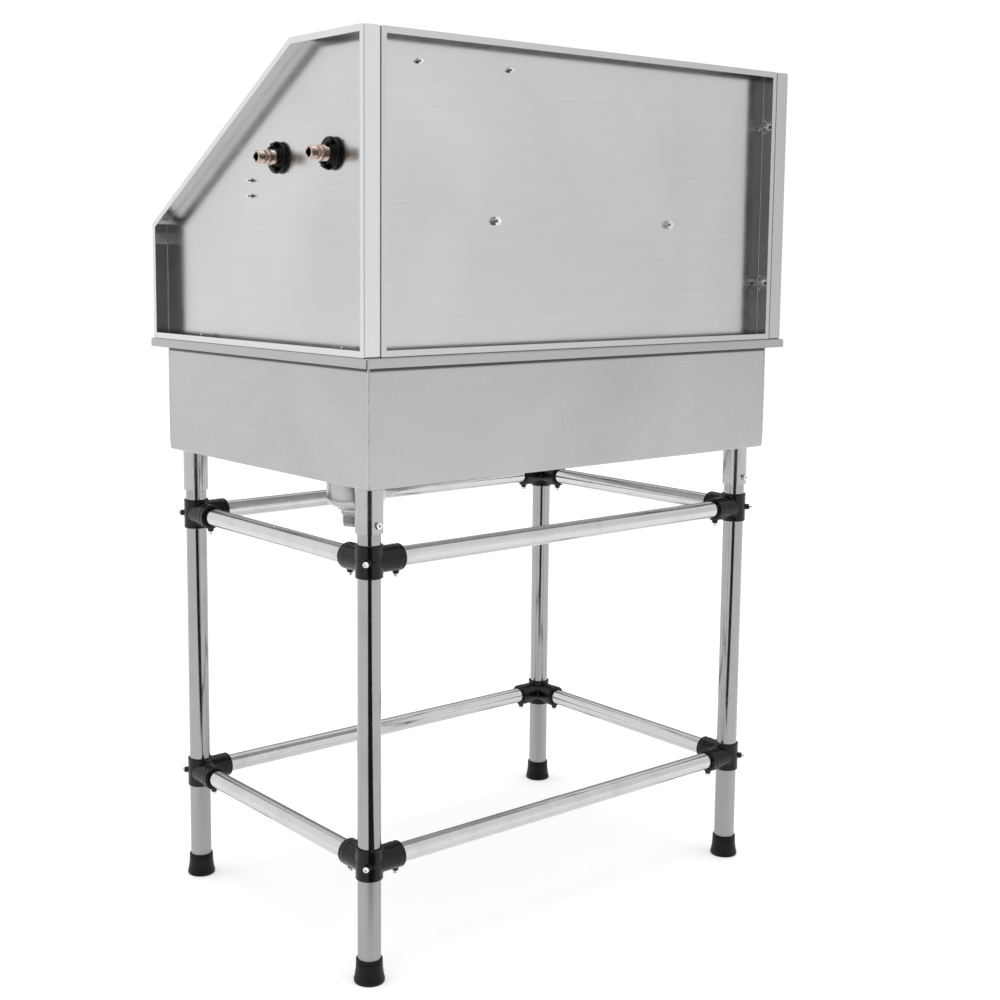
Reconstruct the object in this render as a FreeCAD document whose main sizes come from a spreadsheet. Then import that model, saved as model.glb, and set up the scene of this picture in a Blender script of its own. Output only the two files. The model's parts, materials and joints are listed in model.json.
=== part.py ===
import FreeCAD, Part
import Sketcher
import math
import os

# Pet bathtub: a stainless wash basin with three splash panels on a four-legged tube stand,
# with a two-handle wall faucet and a basket-strainer drain.
# +Z is up, the open front faces -Y, the back panel is at +Y and the faucet wall is at +X.
# The origin is on the floor, in the middle of the four legs. All sizes are in millimetres.

SIZES = [
    # stand
    ("leg_x", 429.5), ("leg_y", 273.7), ("leg_rad", 19), ("rail_rad", 16), ("tube_wall", 1.5),
    ("leg_base", 6), ("leg_top", 806), ("upper_z", 693), ("lower_z", 200.5), ("rail_gap", 24),
    ("joint_rad", 22.4), ("joint_half", 26.5), ("socket_rad", 21.6), ("socket_reach", 59),
    ("boss_reach", 52), ("boss_rad", 5.5), ("screw_rad", 3), ("screw_head_rad", 4.7),
    ("screw_head_high", 5), ("hex_rad", 2.6), ("foot_rad", 25.5), ("foot_neck", 21.9),
    ("foot_high", 40), ("foot_bell", 14), ("foot_edge", 1.5),
    # fits
    ("fit", 0.1), ("push_fit", 0.05), ("over", 1),
    # basin
    ("basin_x", 920), ("basin_y", 628), ("basin_base", 811), ("rim_top", 1015.5), ("skin", 1.5),
    ("rim_x", 965), ("rim_y", 680), ("rim_drop", 15), ("basin_corner", 4), ("basin_bend", 3),
    ("sleeve_rad", 22.5), ("sleeve_bore", 19.3), ("sleeve_base", 738), ("sleeve_bolt_z", 752),
    # splash panels
    ("panel_top", 1504.5), ("panel_lip_x", 480), ("panel_lip_y", 331), ("flange", 31), ("lip", 10.5),
    ("sheet", 1.2), ("fold", 2.5), ("panel_fit", 0.2), ("slope_y", 131), ("knee_z", 1223),
    ("rim_bolt_front", -182), ("rim_bolt_back", 253), ("rim_bolt_x", 465), ("m5_rad", 2.5),
    ("m5_clear", 2.75), ("m5_nut", 4.5), ("m5_nut_high", 4), ("m5_head", 4.75), ("corner_y", 317),
    ("corner_high_z", 1406.5), ("corner_low_z", 1120), ("m6_rad", 3), ("m6_clear", 3.3),
    # drain
    ("drain_x", 262), ("drain_rad", 52.5), ("drain_base", 740), ("drain_flange", 60),
    ("drain_sheet", 1.2), ("drain_step", 7), ("drain_dish", 9), ("outlet_rad", 24), ("outlet_end", 692),
    ("outlet_neck", 722), ("outlet_high", 27), ("outlet_collar", 6), ("gasket_high", 2.5),
    ("locknut_high", 9), ("basket_rad", 40), ("basket_deep", 42), ("knob_rad", 9), ("knob_stem", 3),
    ("knob_high", 34), ("basket_gap", 0.2),
    # faucet
    ("inlet_z", 1324.5), ("inlet_mid", 130), ("inlet_half", 76.2), ("inlet_end", 495),
    ("thread_rad", 13.2), ("nipple_rad", 10.2), ("water_rad", 7), ("body_x", 398), ("body_rad", 15),
    ("body_over", 24), ("valve_rad", 17), ("valve_face", 366), ("stem_rad", 4.5), ("lever_len", 62),
    ("arm_len", 38), ("step_x", 472), ("spout_drop", 26), ("faucet_wall", 3), ("body_edge", 5),
    ("arm_rad", 15), ("port_rad", 10.6), ("disc_rad", 10.9), ("disc_deep", 12), ("stem_len", 26),
    ("tail_wall", 1.2), ("tail_len", 12), ("shank_in", 10), ("shank_collar", 4), ("plate_rad", 29),
    ("plate_high", 5), ("plate_edge", 1.5), ("washer_rad", 23), ("washer_high", 2),
    ("inlet_nut_rad", 26), ("nut_ring", 3.5), ("nut_hub", 4), ("nut_hub_high", 9.5), ("lug_half", 6),
    ("lug_len", 18), ("bonnet_rad", 16), ("bonnet_neck", 8.5), ("bonnet_high", 9), ("hub_rad", 14),
    ("hub_high", 21), ("hub_gap", 11), ("stem_deep", 15), ("blade_low", 6), ("blade_thick", 8),
    ("blade_tip", 3), ("nipple_len", 22),
    # fasteners
    ("head_edge", 1), ("wing_hub", 3.2), ("wing_hub_high", 8), ("wing_root", 4.5), ("wing_waist", 7.5),
    ("wing_reach", 14), ("wing_high", 14.5), ("wing_thick", 2), ("rim_bolt_len", 15),
    ("rim_head_high", 3.5), ("panel_screw_len", 12), ("panel_head_high", 3), ("corner_bolt_len", 21),
    ("corner_head_high", 4),
    # fittings on the panels
    ("holder_y", -34), ("holder_z", 1278), ("holder_pitch", 25.5), ("rack_x", 264.5),
    ("rack_half", 91.5), ("rack_z", 1462.5), ("rack_deep", 95), ("rack_high", 70), ("tether_x", 200),
    ("tether_z", 1224), ("m8_rad", 4), ("m8_nut", 7.5), ("m8_nut_high", 6.5), ("eye_rad", 15),
    ("eye_wire", 4), ("eye_stem", 30), ("eye_through", 12), ("eye_collar", 9), ("eye_collar_high", 2.5),
    ("holder_reach", 32), ("holder_bore", 12.5), ("holder_ring", 4), ("holder_high", 22),
    ("holder_plate_x", 12), ("holder_plate_z", 24), ("holder_arm_x", 4), ("holder_arm_z", 6),
    ("holder_mouth", 7), ("fitting_sheet", 2), ("rack_wide", 250), ("rack_front", 48),
    ("rack_drop", 14), ("rack_bend", 4), ("rack_border", 12), ("rack_pitch", 20), ("rack_slot", 6),
]

doc = FreeCAD.newDocument("PetBathtub")
table = doc.addObject("Spreadsheet::Sheet", "Size")
for row, (word, amount) in enumerate(SIZES, start=1):
    table.set("A%d" % row, word)
    table.set("B%d" % row, str(amount))
    table.setAlias("B%d" % row, word)
doc.recompute()

NODES = []


def size(word):
    """A number read back from the sheet."""
    return float(table.get(word))


def place(thing, x="0", y="0", z="0", axis=(0, 0, 1), angle=0):
    """Turn an object and bind its place to the sheet."""
    thing.Placement = FreeCAD.Placement(FreeCAD.Vector(), FreeCAD.Rotation(FreeCAD.Vector(*axis), angle))
    thing.setExpression("Placement.Base.x", x)
    thing.setExpression("Placement.Base.y", y)
    thing.setExpression("Placement.Base.z", z)
    return thing


def node(thing, label):
    """Name an object as one sub-part of the tub."""
    thing.Label = label
    NODES.append(thing)
    return thing


def new_body(name, **where):
    return place(doc.addObject("PartDesign::Body", name), **where)


def new_sketch(body, role, lift="0", turn=0):
    """A sketch on one of the body's own origin planes, turned about its upright axis and raised by lift."""
    plane = [f for f in body.Origin.OriginFeatures if f.Role == role][0]
    sketch = body.newObject("Sketcher::SketchObject", body.Name + "Sketch")
    sketch.AttachmentSupport = [(plane, "")]
    sketch.MapMode = "FlatFace"
    spin = FreeCAD.Rotation(FreeCAD.Vector(0, 1, 0), turn)
    sketch.AttachmentOffset = FreeCAD.Placement(FreeCAD.Vector(), spin)
    sketch.setExpression("AttachmentOffset.Base.z", lift)
    return sketch


def outline(sketch, corners):
    """A closed outline through corners, each held by expressions for its two coordinates."""
    first = sketch.GeometryCount
    count = len(corners)
    ring = [FreeCAD.Vector(50 * math.cos(2 * math.pi * i / count), 50 * math.sin(2 * math.pi * i / count), 0)
            for i in range(count)]
    for i in range(count):
        sketch.addGeometry(Part.LineSegment(ring[i], ring[(i + 1) % count]), False)
    for i in range(count):
        sketch.addConstraint(Sketcher.Constraint("Coincident", first + i, 2, first + (i + 1) % count, 1))
    for i, (across, along) in enumerate(corners):
        for kind, text, guess in (("DistanceX", across, ring[i].x), ("DistanceY", along, ring[i].y)):
            k = sketch.addConstraint(Sketcher.Constraint(kind, -1, 1, first + i, 1, guess))
            sketch.setExpression("Constraints[%d]" % k, text)
    return sketch


def circle(sketch, across, along, radius):
    """A circle whose centre and radius follow expressions."""
    k = sketch.addGeometry(Part.Circle(FreeCAD.Vector(1, 1, 0), FreeCAD.Vector(0, 0, 1), 2), False)
    for kind, text in (("DistanceX", across), ("DistanceY", along)):
        c = sketch.addConstraint(Sketcher.Constraint(kind, -1, 1, k, 3, 1.0))
        sketch.setExpression("Constraints[%d]" % c, text)
    c = sketch.addConstraint(Sketcher.Constraint("Radius", k, 2.0))
    sketch.setExpression("Constraints[%d]" % c, radius)
    return sketch


def box_outline(sketch, half_x, half_y):
    return outline(sketch, [("-(%s)" % half_x, "-(%s)" % half_y), (half_x, "-(%s)" % half_y),
                            (half_x, half_y), ("-(%s)" % half_x, half_y)])


def pad(body, sketch, length, back=False):
    feature = body.newObject("PartDesign::Pad", body.Name + "Pad")
    feature.Profile = sketch
    feature.Reversed = back
    feature.setExpression("Length", length)
    doc.recompute()
    return feature


def pocket(body, sketch, length, back=False):
    """Cut the sketch out of the body and make sure that something was removed."""
    before = body.Shape.Volume
    feature = body.newObject("PartDesign::Pocket", body.Name + "Pocket")
    feature.Profile = sketch
    feature.Reversed = back
    feature.setExpression("Length", length)
    doc.recompute()
    if body.Shape.Volume > before - 1e-6:
        raise RuntimeError("the pocket %s removed nothing" % feature.Name)
    return feature


def revolve(body, corners):
    """Turn an outline of (radius, height) corners about the body's Z axis."""
    sketch = outline(new_sketch(body, "XZ_Plane"), corners)
    feature = body.newObject("PartDesign::Revolution", body.Name + "Turned")
    feature.Profile = sketch
    feature.ReferenceAxis = (sketch, ["V_Axis"])
    feature.Angle = 360
    doc.recompute()
    return feature


def soften(body, kind, radius, wanted):
    """Fillet or chamfer the edges of the body's tip whose two ends pass the test."""
    base = body.Tip
    names = []
    for k, edge in enumerate(base.Shape.Edges, start=1):
        middle = edge.valueAt((edge.FirstParameter + edge.LastParameter) / 2)
        if wanted(edge, middle):
            names.append("Edge%d" % k)
    feature = body.newObject("PartDesign::" + kind, body.Name + kind)
    feature.Base = (base, names)
    feature.setExpression("Radius" if kind == "Fillet" else "Size", radius)
    doc.recompute()
    if not names or "Invalid" in feature.State or not feature.Shape.isValid():
        raise RuntimeError("%s could not round %d edges" % (feature.Name, len(names)))
    return feature


def upright(edge, middle):
    """True for a straight edge that runs along Z."""
    ends = [v.Point for v in edge.Vertexes]
    return len(ends) == 2 and abs(ends[0].z - ends[1].z) > 1 and (ends[0] - ends[1]).Length < 1e-3 + abs(
        ends[0].z - ends[1].z)


def turned(label, corners, **where):
    """A sub-part turned about its own Z axis."""
    body = node(new_body(label.title().replace("_", ""), **where), label)
    revolve(body, corners)
    return body


def tube(label, outer, wall, length, **where):
    """A sub-part cut from round tube, along its own Z axis."""
    rod = doc.addObject("Part::Cylinder", label + "_outside")
    rod.setExpression("Radius", outer)
    rod.setExpression("Height", length)
    hollow = doc.addObject("Part::Cylinder", label + "_inside")
    hollow.setExpression("Radius", "%s - %s" % (outer, wall))
    hollow.setExpression("Height", length)
    cut = doc.addObject("Part::Cut", label + "_tube")
    cut.Base = rod
    cut.Tool = hollow
    return node(place(cut, **where), label)


def group(label, pattern, places):
    """Identical pieces as one sub-part: a compound of links to a pattern piece."""
    links = []
    for k, (x, y, z, axis, angle) in enumerate(places):
        link = doc.addObject("App::Link", "%s_%d" % (label, k + 1))
        link.LinkedObject = pattern
        links.append(place(link, x=x, y=y, z=z, axis=axis, angle=angle))
    compound = doc.addObject("Part::Compound", label + "_group")
    compound.Links = links
    return node(compound, label)


# ---------------------------------------------------------------- basin

def make_basin():
    """One folded and welded sheet tub with a flat rim that turns down at its edge."""
    body = node(new_body("Basin"), "basin")
    low = size("basin_base")
    top = size("rim_top")
    floor = low + size("skin")
    block = new_sketch(body, "XY_Plane", "Size.basin_base")
    box_outline(block, "Size.basin_x / 2", "Size.basin_y / 2")
    pad(body, block, "Size.rim_top - Size.basin_base")
    soften(body, "Fillet", "Size.basin_corner", upright)
    soften(body, "Fillet", "Size.basin_bend", lambda e, m: abs(m.z - low) < 0.01)
    inner = ("Size.basin_x / 2 - Size.skin", "Size.basin_y / 2 - Size.skin")
    hollow = box_outline(new_sketch(body, "XY_Plane", "Size.rim_top"), *inner)
    pocket(body, hollow, "Size.rim_top - Size.basin_base - Size.skin")
    inner_x = size("basin_x") / 2 - size("skin")
    soften(body, "Fillet", "Size.basin_corner - Size.skin", lambda e, m: upright(e, m) and abs(
        abs(m.x) - inner_x) < 0.01)
    soften(body, "Fillet", "Size.basin_bend - Size.skin", lambda e, m: abs(m.z - floor) < 0.01)
    rim = box_outline(new_sketch(body, "XY_Plane", "Size.rim_top"), "Size.rim_x / 2", "Size.rim_y / 2")
    box_outline(rim, *inner)
    pad(body, rim, "Size.rim_drop", back=True)
    half_x = size("rim_x") / 2
    half_y = size("rim_y") / 2
    soften(body, "Fillet", "Size.basin_corner", lambda e, m: upright(e, m) and abs(m.x) > half_x - 0.1)
    soften(body, "Fillet", "Size.basin_bend", lambda e, m: abs(m.z - top) < 0.01 and (
        abs(m.x) > half_x - 2 or abs(m.y) > half_y - 2))
    under = new_sketch(body, "XY_Plane", "Size.rim_top - Size.rim_drop")
    box_outline(under, "Size.rim_x / 2 - Size.skin", "Size.rim_y / 2 - Size.skin")
    box_outline(under, "Size.basin_x / 2", "Size.basin_y / 2")
    pocket(body, under, "Size.rim_drop - Size.skin", back=True)
    drain = new_sketch(body, "XY_Plane", "Size.rim_top")
    circle(drain, "Size.drain_x", "0", "Size.drain_rad + 2 * Size.fit")
    pocket(body, drain, "Size.rim_top - Size.basin_base + Size.over")
    holes = new_sketch(body, "XY_Plane", "Size.rim_top")
    for x, y in RIM_BOLTS:
        circle(holes, x, y, "Size.m5_clear")
    pocket(body, holes, "Size.skin + Size.over")


RIM_BOLTS = [(side + "Size.rim_bolt_x", y) for side in ("", "-") for y in
             ("Size.rim_bolt_front", "Size.rim_bolt_back")]


# ---------------------------------------------------------------- splash panels

def make_tray(body, corners, shrink):
    """A sheet with its edges folded out by the flange depth and then in again by the lip.

    corners is the outline; shrink(amount) gives the same outline moved in by that amount.
    """
    pad(body, outline(new_sketch(body, "XY_Plane"), corners), "Size.flange")
    deep = size("flange")
    soften(body, "Fillet", "Size.fold", upright)
    soften(body, "Fillet", "Size.fold", lambda e, m: abs(m.z) < 0.01)
    soften(body, "Fillet", "Size.fold - Size.sheet", lambda e, m: abs(m.z - deep) < 0.01)
    cavity = outline(new_sketch(body, "XY_Plane", "Size.flange - Size.sheet"), shrink("Size.sheet"))
    pocket(body, cavity, "Size.flange - 2 * Size.sheet")
    mouth = outline(new_sketch(body, "XY_Plane", "Size.flange"), shrink("Size.lip"))
    pocket(body, mouth, "Size.sheet + Size.over")
    thin = size("sheet")
    soften(body, "Fillet", "Size.fold - Size.sheet",
           lambda e, m: upright(e, m) and abs(m.z - deep / 2) < 0.1 and e.Length < deep - 2 * thin + 0.1)
    soften(body, "Fillet", "Size.fold - Size.sheet - 2 * Size.fit", lambda e, m: abs(m.z - thin) < 0.01)


def side_outline(inset):
    """The side panel seen along X, as (y, z) corners above the rim, moved in by inset."""
    run = size("slope_y") + size("panel_lip_y")
    rise = size("panel_top") - size("knee_z")
    slant = math.hypot(run, rise)
    # moving the sloping edge in by d moves its ends along the edges that they share by these shares of d
    at_knee = (slant - rise) / run
    at_top = (slant - run) / rise
    return [("-Size.panel_lip_y + %s" % inset, inset),
            ("Size.panel_lip_y - %s" % inset, inset),
            ("Size.panel_lip_y - %s" % inset, "Size.panel_top - Size.rim_top - %s" % inset),
            ("Size.slope_y + %s * %.6f" % (inset, at_top), "Size.panel_top - Size.rim_top - %s" % inset),
            ("-Size.panel_lip_y + %s" % inset, "Size.knee_z - Size.rim_top - %s * %.6f" % (inset, at_knee))]


def make_side_panel(label, side):
    """side is 1 for the faucet wall at +X and -1 for the plain wall at -X."""
    # the sketch plane XY of the body stands upright: its x runs along world Y and its y along world Z
    along = FreeCAD.Vector(0, side, 0)
    facing = FreeCAD.Rotation(along, FreeCAD.Vector(0, 0, 1), FreeCAD.Vector(side, 0, 0), "XYZ")
    body = node(doc.addObject("PartDesign::Body", label.title().replace("_", "")), label)

    def shrink(inset):
        return [(("-(%s)" % a) if side < 0 else a, b) for a, b in side_outline(inset)]

    make_tray(body, shrink("0"), shrink)
    body.Placement = FreeCAD.Placement(FreeCAD.Vector(), facing)
    body.setExpression("Placement.Base.x", "%d * (Size.panel_lip_x - Size.flange)" % side)
    body.setExpression("Placement.Base.z", "Size.rim_top")
    sign = "-" if side < 0 else ""
    holes = new_sketch(body, "XY_Plane")
    for z in ("Size.corner_high_z", "Size.corner_low_z"):
        circle(holes, sign + "Size.corner_y", z + " - Size.rim_top", "Size.m6_clear")
    if side > 0:
        for y in INLETS:
            circle(holes, y, "Size.inlet_z - Size.rim_top", "Size.thread_rad + 4 * Size.fit")
        for z in HOLDER_SCREWS:
            circle(holes, "Size.holder_y", z + " - Size.rim_top", "Size.m5_clear")
    pocket(body, holes, "Size.sheet + Size.over", back=True)
    feet = new_sketch(body, "XZ_Plane")
    for y in ("Size.rim_bolt_front", "Size.rim_bolt_back"):
        circle(feet, sign + y, "Size.rim_bolt_x - Size.panel_lip_x + Size.flange", "Size.m5_clear")
    pocket(body, feet, "Size.sheet + Size.over")


INLETS = ["Size.inlet_mid - Size.inlet_half", "Size.inlet_mid + Size.inlet_half"]
HOLDER_SCREWS = ["Size.holder_z - Size.holder_pitch / 2", "Size.holder_z + Size.holder_pitch / 2"]


def make_back_panel():
    """The back panel stands between the two side panels, flush with their back flanges."""
    body = node(new_body("BackSplashPanel", y="Size.panel_lip_y - Size.flange", z="Size.rim_top"),
                "back_splash_panel")
    half = "Size.panel_lip_x - Size.flange - Size.panel_fit"
    high = "Size.panel_top - Size.rim_top"

    def shrink(inset):
        return [("-(%s) + %s" % (half, inset), inset), ("%s - %s" % (half, inset), inset),
                ("%s - %s" % (half, inset), "%s - %s" % (high, inset)),
                ("-(%s) + %s" % (half, inset), "%s - %s" % (high, inset))]

    make_tray(body, shrink("0"), shrink)
    holes = new_sketch(body, "XY_Plane")
    for x in RACK_SCREWS:
        circle(holes, "-(%s)" % x, "Size.rack_z - Size.rim_top", "Size.m5_clear")
    for side in ("-", ""):
        circle(holes, side + "Size.tether_x", "Size.tether_z - Size.rim_top", "Size.m8_rad + 3 * Size.fit")
    pocket(body, holes, "Size.sheet + Size.over", back=True)
    cross = new_sketch(body, "YZ_Plane", "-(%s) - Size.over" % half)
    for z in ("Size.corner_high_z", "Size.corner_low_z"):
        behind = "Size.corner_y - Size.panel_lip_y + Size.flange"
        circle(cross, z + " - Size.rim_top", behind, "Size.m6_clear")
    pocket(body, cross, "2 * (%s) + 2 * Size.over" % half, back=True)
    body.Placement.Rotation = FreeCAD.Rotation(FreeCAD.Vector(-1, 0, 0), FreeCAD.Vector(0, 0, 1),
                                               FreeCAD.Vector(0, 1, 0), "XYZ")


RACK_SCREWS = ["Size.rack_x - Size.rack_half", "Size.rack_x + Size.rack_half"]

make_basin()
make_side_panel("right_splash_panel", 1)
make_side_panel("left_splash_panel", -1)
make_back_panel()

# ---------------------------------------------------------------- stand

CORNERS = [("front_left", -1, -1), ("front_right", 1, -1), ("back_right", 1, 1), ("back_left", -1, 1)]
# the connector's sockets point along its own +X and +Y, so each corner has its own quarter turn
QUARTER = {(-1, -1): 0, (1, -1): 90, (1, 1): 180, (-1, 1): 270}
# the leg's own screw faces out from the corner, halfway between the two sides without a rail
LEG_SCREW_TURN = -45


def spot(sign_x, sign_y):
    """The place of one leg's axis."""
    return {"x": "%d * Size.leg_x" % sign_x, "y": "%d * Size.leg_y" % sign_y}


def make_leg_socket(label, sign_x, sign_y):
    """A thick sleeve welded under the basin, with a bolt hole in the side that faces out along Y."""
    body = turned(label, [("Size.sleeve_bore", "0"), ("Size.sleeve_rad", "0"),
                          ("Size.sleeve_rad", "Size.basin_base - Size.sleeve_base"),
                          ("Size.sleeve_bore", "Size.basin_base - Size.sleeve_base")],
                  z="Size.sleeve_base", angle=0 if sign_y < 0 else 180, **spot(sign_x, sign_y))
    hole = circle(new_sketch(body, "XZ_Plane"), "0", "Size.sleeve_bolt_z - Size.sleeve_base",
                  "Size.screw_rad + Size.fit")
    pocket(body, hole, "Size.sleeve_rad + Size.over", back=True)


def make_connector(label, sign_x, sign_y, height):
    """A moulded corner joint: a collar on the leg and two sockets for the rails, with screw bosses."""
    body = turned(label, [("Size.leg_rad", "-Size.joint_half"), ("Size.joint_rad", "-Size.joint_half"),
                          ("Size.joint_rad", "Size.joint_half"), ("Size.leg_rad", "Size.joint_half")],
                  z=height, angle=QUARTER[(sign_x, sign_y)], **spot(sign_x, sign_y))
    for role in ("YZ_Plane", "XZ_Plane"):
        pad(body, circle(new_sketch(body, role), "0", "0", "Size.socket_rad"), "Size.socket_reach",
            back=role == "XZ_Plane")
    bosses = new_sketch(body, "XY_Plane", "-Size.joint_half")
    circle(bosses, "Size.boss_reach", "0", "Size.boss_rad")
    circle(bosses, "0", "Size.boss_reach", "Size.boss_rad")
    pad(body, bosses, "Size.joint_half - Size.rail_rad")
    leg_boss = circle(new_sketch(body, "XZ_Plane", turn=LEG_SCREW_TURN), "0", "0", "Size.boss_rad")
    pad(body, leg_boss, "Size.leg_rad + Size.joint_half - Size.rail_rad")
    bore = circle(new_sketch(body, "XY_Plane", "Size.joint_half + Size.over"), "0", "0",
                  "Size.leg_rad + Size.push_fit")
    pocket(body, bore, "2 * (Size.joint_half + Size.over)")
    for role in ("YZ_Plane", "XZ_Plane"):
        lift = "Size.rail_gap - Size.over" if role == "YZ_Plane" else "-Size.rail_gap + Size.over"
        rail = circle(new_sketch(body, role, lift), "0", "0", "Size.rail_rad + Size.push_fit")
        pocket(body, rail, "Size.socket_reach - Size.rail_gap + 2 * Size.over", back=role == "YZ_Plane")
    screws = new_sketch(body, "XY_Plane", "-Size.joint_half - Size.over")
    circle(screws, "Size.boss_reach", "0", "Size.screw_rad + Size.fit")
    circle(screws, "0", "Size.boss_reach", "Size.screw_rad + Size.fit")
    pocket(body, screws, "Size.joint_half - Size.rail_rad + 2 * Size.over", back=True)
    leg_screw = new_sketch(body, "XZ_Plane", turn=LEG_SCREW_TURN)
    circle(leg_screw, "0", "0", "Size.screw_rad + Size.fit")
    pocket(body, leg_screw, "Size.leg_rad + Size.joint_half", back=True)


def make_foot(label, sign_x, sign_y):
    """A bell-shaped rubber cup that the leg stands in."""
    turned(label, [("0", "0"), ("Size.foot_rad - Size.foot_edge", "0"),
                   ("Size.foot_rad", "Size.foot_edge"), ("Size.foot_rad", "3 * Size.foot_edge"),
                   ("Size.foot_neck + Size.foot_edge", "Size.foot_bell"),
                   ("Size.foot_neck", "2 * Size.foot_bell"),
                   ("Size.foot_neck", "Size.foot_high - Size.foot_edge"),
                   ("Size.foot_neck - Size.foot_edge", "Size.foot_high"),
                   ("Size.leg_rad + Size.push_fit", "Size.foot_high"),
                   ("Size.leg_rad + Size.push_fit", "Size.leg_base"), ("0", "Size.leg_base")],
           **spot(sign_x, sign_y))


for corner, sign_x, sign_y in CORNERS:
    tube("leg_" + corner, "Size.leg_rad", "Size.tube_wall", "Size.leg_top - Size.leg_base",
         z="Size.leg_base", **spot(sign_x, sign_y))
    make_leg_socket("leg_socket_" + corner, sign_x, sign_y)
    make_connector("upper_connector_" + corner, sign_x, sign_y, "Size.upper_z")
    make_connector("lower_connector_" + corner, sign_x, sign_y, "Size.lower_z")
    make_foot("foot_" + corner, sign_x, sign_y)

RAIL_TUBE = ("Size.rail_rad", "Size.tube_wall")
for level in ("upper", "lower"):
    for label, sign in (("front", -1), ("back", 1)):
        tube("%s_rail_%s" % (level, label), *RAIL_TUBE, "2 * (Size.leg_x - Size.rail_gap)",
             x="-Size.leg_x + Size.rail_gap", y="%d * Size.leg_y" % sign, z="Size.%s_z" % level,
             axis=(0, 1, 0), angle=90)
    for label, sign in (("left", -1), ("right", 1)):
        tube("%s_rail_%s" % (level, label), *RAIL_TUBE, "2 * (Size.leg_y - Size.rail_gap)",
             x="%d * Size.leg_x" % sign, y="Size.leg_y - Size.rail_gap", z="Size.%s_z" % level,
             axis=(1, 0, 0), angle=90)

# ---------------------------------------------------------------- fasteners

UP = ((1, 0, 0), 0)
DOWN = ((1, 0, 0), 180)
RIGHT = ((0, 1, 0), 90)
LEFT = ((0, 1, 0), -90)
BACK = ((1, 0, 0), -90)
FRONT = ((1, 0, 0), 90)


def hexagon(sketch, radius):
    """A hexagon about the sketch's origin, radius being the distance to its corners."""
    turns = [(math.cos(math.radians(60 * k)), math.sin(math.radians(60 * k))) for k in range(6)]
    return outline(sketch, [("%.6f * (%s)" % (a, radius), "%.6f * (%s)" % (b, radius)) for a, b in turns])


def bolt(name, radius, length, head_rad, head_high, socket=False, hex_head=False):
    """A pattern bolt that stands on its tip, head up; socket gives it a hexagon recess."""
    body = new_body(name)
    top = "%s + %s" % (length, head_high)
    if hex_head:
        revolve(body, [("0", "0"), (radius, "0"), (radius, top), ("0", top)])
        pad(body, hexagon(new_sketch(body, "XY_Plane", length), head_rad), head_high)
    else:
        revolve(body, [("0", "0"), (radius, "0"), (radius, length), (head_rad, length),
                       (head_rad, top + " - Size.head_edge"), (head_rad + " - Size.head_edge", top),
                       ("0", top)])
    if socket:
        pocket(body, hexagon(new_sketch(body, "XY_Plane", top), "Size.hex_rad"), head_high + " / 2")
    return body


def nut(name, bore, corner_rad, high):
    """A pattern hexagon nut that lies on its lower face."""
    body = new_body(name)
    sketch = hexagon(new_sketch(body, "XY_Plane"), corner_rad)
    circle(sketch, "0", "0", bore)
    pad(body, sketch, high)
    return body


def wing_nut():
    """A pattern wing nut: a tapered hub with two upturned wings."""
    body = new_body("WingNutPattern")
    revolve(body, [("Size.m6_rad", "0"), ("Size.m6_rad + Size.wing_hub", "0"),
                   ("Size.m6_rad + Size.wing_hub - 1", "Size.wing_hub_high"),
                   ("Size.m6_rad", "Size.wing_hub_high")])
    for way in ("", "-"):
        wing = new_sketch(body, "XZ_Plane", "-Size.wing_thick / 2")
        outline(wing, [(way + "Size.wing_root", "1"), (way + "Size.wing_waist", "1"),
                       (way + "Size.wing_reach", "Size.wing_hub_high + 1"),
                       (way + "(Size.wing_reach - 0.5)", "Size.wing_high - 0.5"),
                       (way + "(Size.wing_reach - 3)", "Size.wing_high"),
                       (way + "Size.wing_root", "Size.wing_hub_high - 2")])
        pad(body, wing, "Size.wing_thick")
    return body


set_screw = bolt("SetScrewPattern", "Size.screw_rad", "Size.joint_half - Size.rail_rad",
                 "Size.screw_head_rad", "Size.screw_head_high", socket=True)
places = []
for corner, sign_x, sign_y in CORNERS:
    leg = ("%d * Size.leg_x" % sign_x, "%d * Size.leg_y" % sign_y)
    for level in ("Size.upper_z", "Size.lower_z"):
        low = level + " - Size.rail_rad"
        places.append(("%d * (Size.leg_x - Size.boss_reach)" % sign_x, leg[1], low) + DOWN)
        places.append((leg[0], "%d * (Size.leg_y - Size.boss_reach)" % sign_y, low) + DOWN)
        places.append(("%d * (Size.leg_x + Size.leg_rad * cos(45))" % sign_x,
                       "%d * (Size.leg_y + Size.leg_rad * cos(45))" % sign_y, level,
                       (-sign_y, sign_x, 0), 90))
group("connector_screws", set_screw, places)

sleeve_bolt = bolt("SleeveBoltPattern", "Size.screw_rad", "Size.sleeve_rad - Size.leg_rad + 4 * Size.fit",
                   "Size.screw_head_rad + 1", "Size.screw_head_high", socket=True, hex_head=True)
group("socket_bolts", sleeve_bolt,
      [("%d * Size.leg_x" % sx, "%d * (Size.leg_y + Size.leg_rad)" % sy, "Size.sleeve_bolt_z")
       + (BACK if sy > 0 else FRONT) for corner, sx, sy in CORNERS])

rim_bolt = bolt("RimBoltPattern", "Size.m5_rad", "Size.rim_bolt_len", "Size.m5_head", "Size.rim_head_high",
                hex_head=True)
group("rim_bolts", rim_bolt,
      [(x, y, "Size.rim_top - Size.skin + Size.rim_bolt_len") + DOWN for x, y in RIM_BOLTS])

panel_screw = bolt("PanelScrewPattern", "Size.m5_rad", "Size.panel_screw_len", "Size.m5_head",
                   "Size.panel_head_high")
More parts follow.
